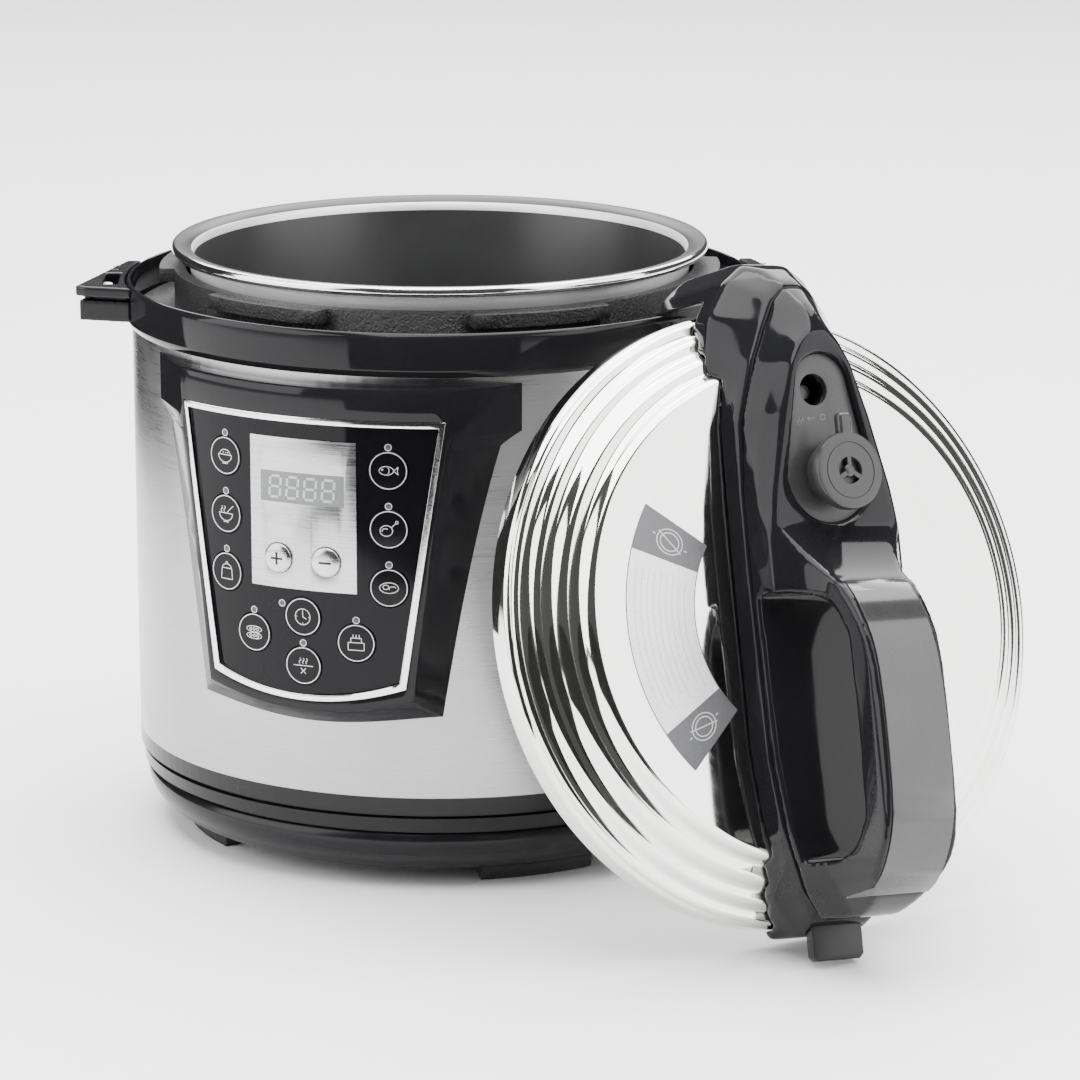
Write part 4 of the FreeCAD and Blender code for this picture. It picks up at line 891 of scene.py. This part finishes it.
def draw_icon(icon: Icon, unit: float, line: float) -> Drawing:
    """Draw one key's icon.

    Args:
        icon: Which icon.
        unit: The icon's unit of length; icons are about eight units wide.
        line: The width of its strokes.

    Returns:
        The drawing, centred on the origin.
    """
    made = Drawing(line)

    def poly(*points: Point) -> None:
        """A stroke through points in units."""
        made.line([(x * unit, y * unit) for x, y in points])

    def arc(x: float, y: float, reach_x: float, reach_y: float, start: float, end: float) -> None:
        """Part of an ellipse in units."""
        made.arc((x * unit, y * unit), reach_x * unit, reach_y * unit, start, end)

    def bowl(top: float) -> None:
        """A bowl on a foot.

        Args:
            top: The height of its rim.
        """
        poly((-4, top), (4, top))
        arc(0, top, 3.8, 3.4, 180, 360)
        poly((-1.5, top - 3.9), (1.5, top - 3.9))

    if icon is Icon.RICE:
        bowl(0.4)
        arc(0, 0.5, 3.0, 2.2, 0, 180)
        for x in (-1.2, 0.2, 1.4):
            poly((x, 1.2), (x + 0.5, 1.6))
    elif icon is Icon.PORRIDGE:
        bowl(0.2)
        poly((0.6, 0.6), (4.2, 3.8))
        for x in (-2.4, -0.8):
            arc(x, 1.4, 0.4, 0.6, 90, 270)
            arc(x, 2.6, 0.4, 0.6, -90, 90)
    elif icon is Icon.SOUP:
        poly((-2.8, 1.4), (-3.2, -3.4), (3.2, -3.4), (2.8, 1.4), (-2.8, 1.4))
        arc(0, 1.5, 2.6, 1.8, 0, 180)
        arc(0, 3.8, 0.5, 0.5, 0, 360)
    elif icon is Icon.BEAN:
        for y in (1.4, -1.6):
            arc(0, y, 4.0, 1.4, 0, 360)
            for x in (-1.8, 0, 1.8):
                arc(x, y, 0.6, 0.6, 0, 360)
    elif icon is Icon.CAKE:
        poly((-3.6, -3.2), (3.6, -3.2), (3.6, 0.2), (-3.6, 0.2), (-3.6, -3.2))
        poly((-2.4, 0.2), (-2.4, 2.2), (2.4, 2.2), (2.4, 0.2))
        for x in (-1.4, 0, 1.4):
            poly((x, 2.2), (x, 3.8))
    elif icon is Icon.MEAT:
        arc(0, 0, 4.2, 2.4, 0, 360)
        arc(-1.4, 0.3, 1.3, 1.0, 0, 360)
        arc(1.6, -0.4, 1.6, 1.0, 30, 200)
    elif icon is Icon.CHICKEN:
        arc(-1.0, -0.6, 2.8, 2.4, 0, 360)
        poly((1.2, 0.9), (3.2, 2.8))
        arc(3.6, 3.2, 0.6, 0.6, 0, 360)
        arc(-1.4, -0.6, 1.4, 1.0, 40, 200)
    elif icon is Icon.FISH:
        arc(-0.8, 0, 3.2, 1.9, 0, 360)
        poly((2.3, 0), (4.4, 1.7), (4.0, 0), (4.4, -1.7), (2.3, 0))
        arc(-2.6, 0.4, 0.3, 0.3, 0, 360)
        arc(-0.4, 0, 0.8, 1.3, -70, 70)
    elif icon is Icon.PRESET:
        arc(0, 0, 3.6, 3.6, 0, 360)
        poly((0, 2.4), (0, 0), (1.8, -1.0))
        for x, y in ((0, 3.1), (3.1, 0), (0, -3.1), (-3.1, 0)):
            poly((x, y), (x * 0.86, y * 0.86))
    elif icon is Icon.CANCEL:
        poly((-4.6, 0), (4.6, 0))
        for x in (-1.6, 0, 1.6):
            arc(x, 1.5, 0.35, 0.6, 90, 270)
            arc(x, 2.7, 0.35, 0.6, -90, 90)
        poly((-1.2, -1.2), (1.2, -3.6))
        poly((1.2, -1.2), (-1.2, -3.6))
    return made


@dataclass
class ControlPanel:
    """The moulded panel, its trim, film, fascia, display, keys and lights."""

    shop: Workshop
    print_line: float = 0.3 * MM
    print_rise: float = 0.06 * MM
    icon_unit: float = 0.98 * MM
    key_depth: float = 3.5 * MM
    key_ring_inset: float = 0.75 * MM
    button_depth: float = 5.0 * MM
    sign_bar: tuple[float, float] = (0.95 * MM, 0.3 * MM)
    sign_level: float = -0.17 * MM
    sign_edge: float = 0.08 * MM
    lamp_gap: float = 0.05 * MM
    lamp_ring_depth: float = 0.2 * MM
    digit_count: int = 4
    digit_height: float = 9.2 * MM
    digit_width: float = 5.2 * MM
    digit_pitch: float = 8.3 * MM
    digit_stroke: float = 1.05 * MM
    digit_rise: float = 0.05 * MM
    digit_slant: float = 0.08
    dot: float = 0.1 * MM

    def build(self) -> None:
        """Make and dress every piece of the panel."""
        shop = self.shop
        shop.crisp("panel_housing", "gloss_black", 0.9 * MM)
        shop.crisp("panel_trim", "trim_silver", 0.25 * MM)
        shop.crisp("panel_film", "film_black")
        shop.crisp("fascia_plate", "fascia_steel", 0.1 * MM)
        shop.crisp("display_window", "display_grey")
        shop.crisp("indicator_leds", "lamp_lens", 0.2 * MM)
        self.digits()
        for icon in Icon:
            self.flat_key(icon)
        for name in ("plus", "minus"):
            self.round_button(name)
        self.light_rings()

    @staticmethod
    def key_place(node: str) -> tuple[Matrix, float]:
        """Where a key faces.

        Args:
            node: The key's CAD node.

        Returns:
            A matrix whose X is across the key, Y is up and Z is out of its face, and the key's radius.
        """
        low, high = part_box(node)
        radius = (high.z - low.z) / 2
        reach = abs(low.y)
        angle = math.atan2((low.x + high.x) / 2, (reach + abs(high.y)) / 2)
        face = (reach - radius * abs(math.sin(angle))) / math.cos(angle)
        return facing(angle, face, (low.z + high.z) / 2), radius

    def flat_key(self, icon: Icon) -> None:
        """A gloss key with a rounded rim, a printed ring and its icon.

        Args:
            icon: The key's icon, whose name its CAD node has too.
        """
        node = f"button_{icon.value}"
        place, radius = self.key_place(node)
        key = self.shop.piece(f"key_{icon.value}", node)
        key.lathe([(0.0, -self.key_depth), (radius, -self.key_depth), (radius, -0.25 * MM),
                   (radius - 0.25 * MM, -0.02 * MM), (radius - 0.6 * MM, 0.0), (0.0, 0.0)], 64)
        key.move(place)
        key.finish([self.shop.finishes.get("key_black")], (node,), 50.0)
        signs = self.shop.piece(f"key_print_{icon.value}", node)
        ring = radius - self.key_ring_inset
        half = self.print_line * 0.62
        signs.lathe([(ring - half, 0.0), (ring - half, self.print_rise), (ring + half, self.print_rise),
                     (ring + half, 0.0)], 72)
        signs.take(draw_icon(icon, self.icon_unit, self.print_line).raised(self.print_rise))
        signs.move(place)
        signs.finish([self.shop.finishes.get("print_silver")])

    def round_button(self, name: str) -> None:
        """A brushed domed button with a dark engraved sign.

        Args:
            name: The sign, plus or minus.
        """
        node = f"button_{name}"
        place, radius = self.key_place(node)
        button = self.shop.piece(f"round_button_{name}", node)
        button.lathe([(0.0, -self.button_depth), (radius, -self.button_depth), (radius, -1.4 * MM),
                      (radius - 0.3 * MM, -1.0 * MM), (radius * 0.8, -0.55 * MM),
                      (radius * 0.5, -0.25 * MM), (0.0, -0.12 * MM)], 72)
        button.move(place)
        button.finish([self.shop.finishes.get("button_steel")], (node,), 50.0)
        sign = self.shop.piece(f"round_button_sign_{name}", node)
        bars = [0.0, math.pi / 2] if name == "plus" else [0.0]
        for turn in bars:
            sign.block(Vector((0, 0, self.sign_level)), (radius * 0.86, *self.sign_bar), self.sign_edge, turn)
        sign.move(place)
        sign.finish([self.shop.finishes.get("satin_black")])

    def light_rings(self) -> None:
        """A thin bright ring round each key's light."""
        lamps = self.shop.merged("indicator_leds")
        rings = self.shop.piece("light_rings", "indicator_leds")
        film_face = -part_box("panel_film")[0].y
        depth = self.lamp_ring_depth
        for centre, radius in self.islands(lamps):
            inner = radius + self.lamp_gap
            outer = inner + self.print_line
            ring = turned([(inner, -depth), (inner, depth), (outer, depth), (outer, -depth)], 40)
            rings.take(ring, facing(math.atan2(centre.x, -centre.y), film_face, centre.z))
        lamps.free()
        rings.finish([self.shop.finishes.get("print_silver")])

    @staticmethod
    def islands(shape: bmesh.types.BMesh) -> list[tuple[Vector, float]]:
        """Find the separate solids in a bmesh.

        Args:
            shape: The bmesh.

        Returns:
            Each solid's middle and half height, from the lowest up.
        """
        found = []
        left = set(shape.verts)
        while left:
            group = {left.pop()}
            edge = set(group)
            while edge:
                edge = {line.other_vert(point) for point in edge for line in point.link_edges} - group
                group |= edge
            left -= group
            middle = sum((point.co for point in group), Vector()) / len(group)
            heights = [point.co.z for point in group]
            found.append((middle, (max(heights) - min(heights)) / 2))
        return sorted(found, key=lambda item: (item[0].z, item[0].x))

    def digits(self) -> None:
        """Four pale digits of seven strokes, with points between them."""
        low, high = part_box("display_window")
        half_x = self.digit_width / 2
        half_z = self.digit_height / 2
        gap = self.digit_stroke * 0.62
        level = [((gap - half_x, z), (half_x - gap, z)) for z in (half_z, 0.0, -half_z)]
        upright = [((x, foot + gap), (x, foot + half_z - gap))
                   for foot, x in ((0.0, -half_x), (0.0, half_x), (-half_z, -half_x), (-half_z, half_x))]
        drawing = Drawing(self.digit_stroke)
        for index in range(self.digit_count):
            left = (index - (self.digit_count - 1) / 2) * self.digit_pitch
            for stroke in level + upright:
                drawing.line([(x + left + y * self.digit_slant, y) for x, y in stroke])
            right = left + self.digit_pitch / 2
            drawing.line([(right, -half_z), (right + self.dot, -half_z)])
        drawing.line([(self.dot, half_z * 0.45), (self.dot * 2, half_z * 0.45)])
        piece = self.shop.piece("display_digits", "display_window")
        piece.take(drawing.raised(self.digit_rise), Matrix.Rotation(math.pi / 2, 4, "X"))
        bmesh.ops.scale(piece.shape, vec=(1, -1, 1), verts=piece.shape.verts)
        piece.move(Matrix.Translation((0, 0, (low.z + high.z) / 2)))
        piece.wrap(abs(low.y))
        bmesh.ops.recalc_face_normals(piece.shape, faces=piece.shape.faces)
        piece.finish([self.shop.finishes.get("digit_pale")])


# ---------------------------------------------------------------- lid
def lid_frame(frame: dict, roll: float = -6.0) -> Matrix:
    """The leaning lid's own frame, from the joint that it twists about.

    Args:
        frame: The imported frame.
        roll: How far the handle leans from upright, in degrees.

    Returns:
        A matrix whose Z is the lid's axis and whose Y runs along the handle to its upper end.
    """
    joint = next(item for item in frame["joints"] if item["name"] == "lid_twist")
    out = Vector(joint["axis"]).normalized()
    side = Vector((0, 0, 1)).cross(out).normalized()
    up = out.cross(side)
    lean = math.radians(roll)
    across = side * math.cos(lean) + up * math.sin(lean)
    along = out.cross(across)
    turn = Matrix((across, along, out)).transposed().to_4x4()
    return Matrix.Translation(Vector(joint["pos_m"])) @ turn


@dataclass
class Lid:
    """The polished lid with its plain label, the inner lid and the sealing ring."""

    shop: Workshop
    place: Matrix
    flat: float = 104.0 * MM
    height: float = 19.9 * MM
    shelf: float = 113.0 * MM
    shelf_height: float = 13.0 * MM
    step: float = 121.5 * MM
    step_height: float = 6.5 * MM
    bead: float = 129.0 * MM
    skirt: float = 130.4 * MM
    depth: float = 14.0 * MM
    wall: float = 1.4 * MM
    bead_height: float = 1.3 * MM
    lug_count: int = 6
    lug_inner: float = 122.0 * MM
    lug_thick: float = 1.5 * MM
    lug_first: float = 30.5
    lug_turn: float = 29.0
    label_inner: float = 54.0 * MM
    label_outer: float = 87.0 * MM
    label_start: float = 147.0
    label_turn: float = 79.0
    label_rim: float = 0.45 * MM
    label_end: float = 13.0
    label_rise: float = 0.04 * MM
    ink_rise: float = 0.03 * MM
    row_count: int = 9

    def build(self) -> None:
        """Make and dress every piece."""
        self.shell()
        self.label()
        self.shop.crisp("inner_lid_plate", "liner_satin", 0.2 * MM)
        self.shop.crisp("sealing_ring", "silicone", 0.3 * MM)
        self.shop.crisp("centre_post", "turned_metal", 0.3 * MM)
        self.shop.crisp("filter_shield", "turned_metal", 0.15 * MM)

    def shell(self) -> None:
        """The stepped dome with its bead and skirt, as one pressed sheet, and its lugs."""
        piece = self.shop.piece("lid_pressing", "lid_shell")
        height, shelf, step, bead = self.height, self.shelf_height, self.step_height, self.bead_height
        outside = [
            (0.0, height), (self.flat - 3 * MM, height), (self.flat - 1.2 * MM, height - 0.35 * MM),
            (self.flat + 0.1 * MM, height - 1.4 * MM), (self.flat + 1.4 * MM, shelf + 3.0 * MM),
            (self.flat + 2.3 * MM, shelf + 1.0 * MM), (self.flat + 3.8 * MM, shelf + 0.1 * MM),
            (self.shelf - 2.4 * MM, shelf - 0.1 * MM), (self.shelf - 0.7 * MM, shelf - 0.7 * MM),
            (self.shelf + 0.6 * MM, shelf - 2.0 * MM), (self.shelf + 1.9 * MM, step + 2.6 * MM),
            (self.shelf + 3.0 * MM, step + 0.8 * MM), (self.shelf + 4.4 * MM, step),
            (self.step - 2.0 * MM, step - 0.1 * MM), (self.step - 0.5 * MM, step - 0.7 * MM),
            (self.step + 0.7 * MM, step - 2.0 * MM), (self.step + 1.7 * MM, bead + 1.0 * MM),
            (self.step + 3.0 * MM, bead + 0.2 * MM), (self.bead - 2.2 * MM, bead),
            (self.bead - 0.8 * MM, bead - 0.4 * MM), (self.bead, bead - 1.3 * MM),
            (self.bead + 0.1 * MM, -1.0 * MM), (self.bead - 0.2 * MM, -2.2 * MM),
            (self.skirt - 1.0 * MM, -3.0 * MM), (self.skirt - 0.3 * MM, -3.6 * MM),
            (self.skirt, -5.0 * MM), (self.skirt, -self.depth + 0.5 * MM),
        ]
        inside = [(max(0.0, radius - self.wall * (0.75 if radius > self.flat else 0.0)),
                   level - (self.wall if level > 0 else 0.0)) for radius, level in outside]
        inside[-1] = (self.skirt - self.wall, -self.depth + 0.5 * MM)
        lip = [(self.skirt, -self.depth), (self.skirt - self.wall, -self.depth)]
        piece.lathe(outside + lip + inside[::-1], 320)
        piece.take(self.lugs())
        piece.move(self.place)
        piece.finish([self.shop.finishes.get("lid_steel")], ("lid_shell",), 50.0)

    def lugs(self) -> bmesh.types.BMesh:
        """The lugs that point inwards from the skirt's foot.

        Returns:
            The bmesh, in the lid's frame.
        """
        made = bmesh.new()
        root = self.skirt - 0.4 * MM
        low = -self.depth
        high = low + self.lug_thick
        section = [(self.lug_inner, low), (root, low), (root, high), (self.lug_inner, high)]
        for index in range(self.lug_count):
            corners = [made.verts.new((radius, 0, level)) for radius, level in section]
            face = made.faces.new(corners)
            start = math.radians(self.lug_first + index * 360 / self.lug_count)
            bmesh.ops.rotate(made, verts=corners, cent=(0, 0, 0), matrix=Matrix.Rotation(start, 3, "Z"))
            bmesh.ops.spin(made, geom=[face] + corners, axis=(0, 0, 1), cent=(0, 0, 0),
                           angle=math.radians(self.lug_turn), steps=12)
        bmesh.ops.recalc_face_normals(made, faces=made.faces)
        return made

    def sector(self, start: float, turn: float, level: float) -> bmesh.types.BMesh:
        """Part of the label's flat ring, in the lid's frame.

        Args:
            start: Where it starts, in degrees.
            turn: How far it goes round, in degrees.
            level: Its height.

        Returns:
            The bmesh, facing up.
        """
        made = bmesh.new()
        corners = [made.verts.new((radius, 0, level)) for radius in (self.label_inner, self.label_outer)]
        line = made.edges.new(corners)
        first = Matrix.Rotation(math.radians(start), 3, "Z")
        bmesh.ops.rotate(made, verts=corners, cent=(0, 0, 0), matrix=first)
        bmesh.ops.spin(made, geom=[line] + corners, axis=(0, 0, 1), cent=(0, 0, 0),
                       angle=math.radians(turn), steps=max(4, int(turn)))
        bmesh.ops.recalc_face_normals(made, faces=made.faces)
        if sum(face.normal.z for face in made.faces) < 0:
            bmesh.ops.reverse_faces(made, faces=made.faces)
        return made

    def label(self) -> None:
        """A plain curved label: a blank field with a thin outline, and a dark patch at each end."""
        book = self.shop.finishes
        end = self.label_start + self.label_turn
        ends = (self.label_start, end - self.label_end)
        level = self.height + self.label_rise
        film = self.shop.piece("lid_label", "lid_shell")
        film.take(self.sector(self.label_start, self.label_turn, level))
        film.move(self.place)
        film.finish([book.get("label_film")])
        ink = self.shop.piece("lid_label_ink", "lid_shell")
        for start in ends:
            ink.take(self.sector(start, self.label_end, level + self.ink_rise))
        outline = Drawing(self.label_rim)
        for radius in (self.label_inner, self.label_outer):
            outline.arc((0, 0), radius, radius, self.label_start, end, 60)
        for angle in (self.label_start, end):
            across = math.radians(angle)
            outline.line([(radius * math.cos(across), radius * math.sin(across))
                          for radius in (self.label_inner, self.label_outer)])
        ink.take(outline.raised(0.05 * MM), Matrix.Translation((0, 0, level)))
        ink.move(self.place)
        ink.finish([book.get("label_ink")])
        marks = self.shop.piece("lid_label_marks", "lid_shell")
        for start in ends:
            marks.take(self.pot_mark().raised(0.04 * MM), self.mark_place(start + self.label_end / 2, level))
        marks.take(self.rows(end).raised(0.03 * MM), Matrix.Translation((0, 0, level)))
        marks.move(self.place)
        marks.finish([book.get("label_marks")])

    def mark_place(self, angle: float, level: float) -> Matrix:
        """Where a mark lies on the label, turned along it.

        Args:
            angle: How far round it is, in degrees.
            level: The label's height.

        Returns:
            The mark's place in the lid's frame.
        """
        turn = Matrix.Rotation(math.radians(angle), 4, "Z")
        middle = (self.label_inner + self.label_outer) / 2
        return turn @ Matrix.Translation((middle, 0, level + self.ink_rise))

    @staticmethod
    def pot_mark() -> Drawing:
        """A small round pot with a handle on its lid.

        Returns:
            The drawing, centred on the origin.
        """
        drawing = Drawing(0.45 * MM)
        for reach in (6.4 * MM, 4.6 * MM):
            drawing.arc((0, 0), reach, reach * 0.8, 0, 360, 24)
        drawing.line([(-6.6 * MM, 2.6 * MM), (6.6 * MM, -2.6 * MM)])
        drawing.line([(-7.6 * MM, 0.6 * MM), (-9.0 * MM, 0.6 * MM)])
        drawing.line([(7.6 * MM, -0.6 * MM), (9.0 * MM, -0.6 * MM)])
        return drawing

    def rows(self, end: float) -> Drawing:
        """Faint ruled rows across the blank field, with no writing.

        Args:
            end: Where the label ends, in degrees.

        Returns:
            The drawing, in the lid's frame.
        """
        drawing = Drawing(0.3 * MM)
        margin = self.label_end + 4.0
        pitch = (self.label_outer - self.label_inner - 9 * MM) / (self.row_count - 1)
        for row in range(self.row_count):
            radius = self.label_inner + 5 * MM + row * pitch
            ragged = (row % 3) * 3.0
            drawing.arc((0, 0), radius, radius, self.label_start + margin, end - margin - ragged, 40)
        return drawing


@dataclass
class LidHandle:
    """The lid's moulded handle with its inlay, valve deck, regulator knob, float and tab."""

    shop: Workshop
    place: Matrix
    grid: float = 1.05 * MM
    rounds: int = 16
    knob_rise: float = 13.0 * MM
    knob_radius: float = 16.0 * MM
    knob_pointer: float = 24.0 * MM
    knob_face: float = 5.0 * MM
    knob_hub: float = 12.8 * MM
    knob_low: float = 51.0 * MM
    knob_slots: int = 3
    slot_reach: float = 4.0 * MM
    slot_size: tuple[float, float, float] = (4.0 * MM, 2.0 * MM, 2.6 * MM)
    pointer_width: float = 6.4 * MM
    pointer_edge: float = 1.6 * MM
    deck_top: float = 47.0 * MM
    signs_ahead: float = 23.0 * MM

    def build(self) -> None:
        """Make and dress every piece."""
        shop = self.shop
        for node in ("handle_base", "lid_handle"):
            shop.moulded(node, "gloss_black", self.grid, self.rounds, self.place)
        shop.crisp("handle_inlay", "inlay_black", 0.35 * MM)
        shop.crisp("valve_deck", "deck_grey", 0.3 * MM)
        shop.crisp("vent_pipe", "turned_metal")
        shop.crisp("float_valve", "dark_metal", 0.3 * MM)
        shop.crisp("float_seal", "silicone")
        shop.crisp("handle_screws", "zinc_steel")
        shop.crisp("lid_tab", "satin_black", 0.5 * MM)
        self.knob()
        self.deck_signs()

    def knob_place(self) -> Matrix:
        """The knob's own frame.

        Returns:
            A matrix whose Z is the knob's axis and whose origin is its foot.
        """
        joint = next(item for item in self.shop.frame["joints"] if item["name"] == "regulator_turn")
        local = self.place.inverted() @ Vector(joint["pos_m"])
        return self.place @ Matrix.Translation((local.x, local.y, self.knob_low))

    def knob(self) -> None:
        """A disc with a dished face, a slotted centre and a rounded pointer."""
        radius, top = self.knob_radius, self.knob_rise
        under = top - self.knob_face
        piece = self.shop.piece("regulator_disc", "regulator_knob")
        piece.lathe([
            (4.3 * MM, 0.0), (self.knob_hub, 0.0), (self.knob_hub, under - 0.4 * MM),
            (self.knob_hub + 1.0 * MM, under), (radius - 0.6 * MM, under), (radius, under + 0.6 * MM),
            (radius, top - 0.8 * MM), (radius - 0.25 * MM, top - 0.25 * MM), (radius - 0.8 * MM, top),
            (radius - 4.1 * MM, top), (radius - 4.2 * MM, top - 0.3 * MM),
            (radius - 4.6 * MM, top - 0.3 * MM), (radius - 4.7 * MM, top), (5.8 * MM, top),
            (5.6 * MM, top - 0.2 * MM), (5.6 * MM, top - 2.8 * MM),
            (2.5 * MM, top - 2.8 * MM), (2.5 * MM, top - 0.5 * MM), (2.0 * MM, top - 0.1 * MM), (0.0, top),
        ], 96)
        for index in range(self.knob_slots):
            angle = math.radians(90 + 120 * index)
            centre = Vector((self.slot_reach * math.cos(angle), self.slot_reach * math.sin(angle),
                             top - 1.5 * MM))
            piece.block(centre, self.slot_size, 0.2 * MM, angle)
        length = self.knob_pointer - radius + 2 * MM
        centre = Vector((0, self.knob_pointer - length / 2, top - self.knob_face / 2))
        piece.block(centre, (self.pointer_width, length, self.knob_face), self.pointer_edge, 0.0, 5)
        piece.move(self.knob_place())
        piece.finish([self.shop.finishes.get("knob_black")], ("regulator_knob",), 40.0)

    def deck_signs(self) -> None:
        """Small signs on the deck: steam at one side, an arrow, and a ring at the other."""
        drawing = Drawing(0.32 * MM)
        ahead = self.signs_ahead
        for x in (-11.8 * MM, -10.2 * MM):
            drawing.arc((x, ahead - 0.8 * MM), 0.5 * MM, 0.8 * MM, 90, 270)
            drawing.arc((x, ahead + 0.8 * MM), 0.5 * MM, 0.8 * MM, -90, 90)
        tip = (-7.6 * MM, ahead + 0.6 * MM)
        drawing.line([(-3.4 * MM, ahead + 1.2 * MM), tip])
        drawing.line([(-6.4 * MM, ahead + 1.7 * MM), tip, (-6.2 * MM, ahead - 0.2 * MM)])
        drawing.arc((0.4 * MM, ahead + 1.4 * MM), 1.2 * MM, 1.2 * MM, 0, 360)
        piece = self.shop.piece("deck_signs", "valve_deck")
        rise = Matrix.Translation((0, 0, self.deck_top - self.knob_low - 0.02 * MM))
        piece.take(drawing.raised(0.12 * MM), self.knob_place() @ rise)
        piece.finish([self.shop.finishes.get("deck_print")])


# ---------------------------------------------------------------- hidden pieces and the back
@dataclass
class Fittings:
    """The heater and the electrics inside, and the inlet and the drip cup at the back."""

    shop: Workshop
    finishes: dict[str, str] = field(default_factory=lambda: {
        "heating_plate": "cast_metal", "thermal_sensor": "cast_metal", "sensor_spring": "spring_steel",
        "sensor_bridge": "zinc_steel", "power_board": "board_resin", "thermal_fuse": "white_plastic",
        "pressure_switch": "white_plastic", "display_module": "white_plastic",
        "tact_switches": "switch_plastic", "control_board": "board_resin",
    })

    def build(self) -> None:
        """Dress every node."""
        for node, finish in self.finishes.items():
            self.shop.crisp(node, finish)
        self.shop.crisp("inlet_socket", "satin_black", 0.3 * MM)
        self.shop.crisp("cup_rails", "satin_black", 0.5 * MM)
        self.shop.crisp("condensate_cup", "clear_plastic", 0.35 * MM)


# ---------------------------------------------------------------- studio
@dataclass(frozen=True)
class Flag:
    """A dark cloth that stands outside the picture, and that only polished surfaces see."""

    name: str
    azimuth: float
    reach: float
    width: float
    height: float


@dataclass(frozen=True)
class Lamp:
    """A large soft lamp, and where it hangs about the cooker."""

    name: str
    azimuth: float
    rise: float
    reach: float
    size: Point
    power: float


@dataclass
class Studio:
    """A pale floor, soft light and the camera."""

    book: FinishBook
    cloths: tuple[Flag, ...] = (
        Flag("side_flag", -126.0, 0.72, 0.76, 0.62),
        Flag("front_flag", -2.0, 0.66, 0.70, 0.30),
    )
    lamps: tuple[Lamp, ...] = (
        Lamp("left", -72.0, 24.0, 2.2, (2.0, 1.9), 60.0),
        Lamp("right", 68.0, 22.0, 2.2, (2.3, 2.1), 66.0),
        Lamp("top", 20.0, 84.0, 2.3, (2.8, 2.4), 190.0),
        Lamp("far_floor", 178.0, 48.0, 3.4, (5.0, 3.0), 330.0),
    )
    floor_reach: float = 6.0
    glow: float = 0.1
    turn: float = 24.0
    distance: float = 2.0466
    height: float = 0.6272
    pitch: float = 0.2408
    yaw: float = -0.0219
    lens: float = 154.29

    def build(self) -> None:
        """Set up the stage."""
        self.floor()
        self.flags()
        self.world()
        self.lights()
        self.camera()

    def floor(self) -> None:
        """A wide pale sheet."""
        made = bmesh.new()
        bmesh.ops.create_grid(made, x_segments=8, y_segments=8, size=self.floor_reach)
        self.stand("floor_sheet", made, "floor_paper")

    def flags(self) -> None:
        """The dark cloths, which throw no shadow."""
        for cloth in self.cloths:
            made = bmesh.new()
            bmesh.ops.create_grid(made, x_segments=2, y_segments=2, size=0.5)
            turn = Matrix.Rotation(math.radians(cloth.azimuth + self.turn), 4, "Z")
            stand = turn @ Matrix.Translation((0, -cloth.reach, cloth.height / 2 + 0.01))
            size = Matrix.Diagonal((cloth.width, cloth.height, 1.0, 1.0))
            shape = Matrix.Rotation(math.pi / 2, 4, "X") @ size
            bmesh.ops.transform(made, matrix=stand @ shape, verts=made.verts)
            flag = self.stand(cloth.name, made, "flag_cloth")
            flag.visible_camera = False
            flag.visible_shadow = False
            flag.visible_diffuse = False

    def stand(self, name: str, made: bmesh.types.BMesh, finish: str) -> bpy.types.Object:
        """Put a sheet on the stage.

        Args:
            name: The sheet's name.
            made: Its bmesh, which is used up.
            finish: The name of its finish.

        Returns:
            The object.
        """
        mesh = bpy.data.meshes.new(name)
        made.to_mesh(mesh)
        made.free()
        mesh.materials.append(self.book.get(finish))
        sheet = bpy.data.objects.new(name, mesh)
        bpy.context.scene.collection.objects.link(sheet)
        return sheet

    def world(self) -> None:
        """Dim surroundings, so that the lamps and the floor show in the gloss."""
        world = bpy.data.worlds.new("studio")
        bpy.context.scene.world = world
        world.use_nodes = True
        back = world.node_tree.nodes["Background"]
        back.inputs["Color"].default_value = (1.0, 1.0, 1.0, 1.0)
        back.inputs["Strength"].default_value = self.glow

    def lights(self) -> None:
        """Large soft lamps: one to the left, one to the right, one above and one behind."""
        centre = Vector((0.06, -0.03, 0.14))
        for plan in self.lamps:
            angle = math.radians(plan.azimuth + self.turn)
            lift = math.radians(plan.rise)
            level = math.cos(lift)
            out = Vector((math.sin(angle) * level, -math.cos(angle) * level, math.sin(lift)))
            lamp = bpy.data.lights.new(plan.name, "AREA")
            lamp.shape = "RECTANGLE"
            lamp.size, lamp.size_y = plan.size
            lamp.energy = plan.power
            holder = bpy.data.objects.new(plan.name, lamp)
            holder.location = centre + out * plan.reach
            holder.rotation_euler = out.to_track_quat("Z", "Y").to_euler()
            bpy.context.scene.collection.objects.link(holder)

    def camera(self) -> None:
        """Look from the front right, a little above."""
        angle = math.radians(self.turn)
        lens = bpy.data.cameras.new("camera")
        lens.lens = self.lens
        lens.sensor_width = 36.0
        lens.clip_end = 30.0
        camera = bpy.data.objects.new("camera", lens)
        camera.location = (self.distance * math.sin(angle), -self.distance * math.cos(angle), self.height)
        camera.rotation_euler = Euler((math.pi / 2 - self.pitch, 0.0, angle + self.yaw))
        bpy.context.scene.collection.objects.link(camera)
        bpy.context.scene.camera = camera


def main() -> None:
    """Load the frame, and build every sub-assembly in order."""
    logging.basicConfig(level=logging.INFO, format="%(name)s: %(message)s")
    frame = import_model()
    place = lid_frame(frame)
    book = FinishBook(place)
    shop = Workshop(frame, book)
    for part in (RoundBody(shop), SideHandles(shop), CookingPot(shop), ControlPanel(shop), Lid(shop, place),
                 LidHandle(shop, place), Fittings(shop)):
        LOG.info("building %s", type(part).__name__)
        part.build()
    Studio(book).build()


if __name__ == "__main__":
    main()
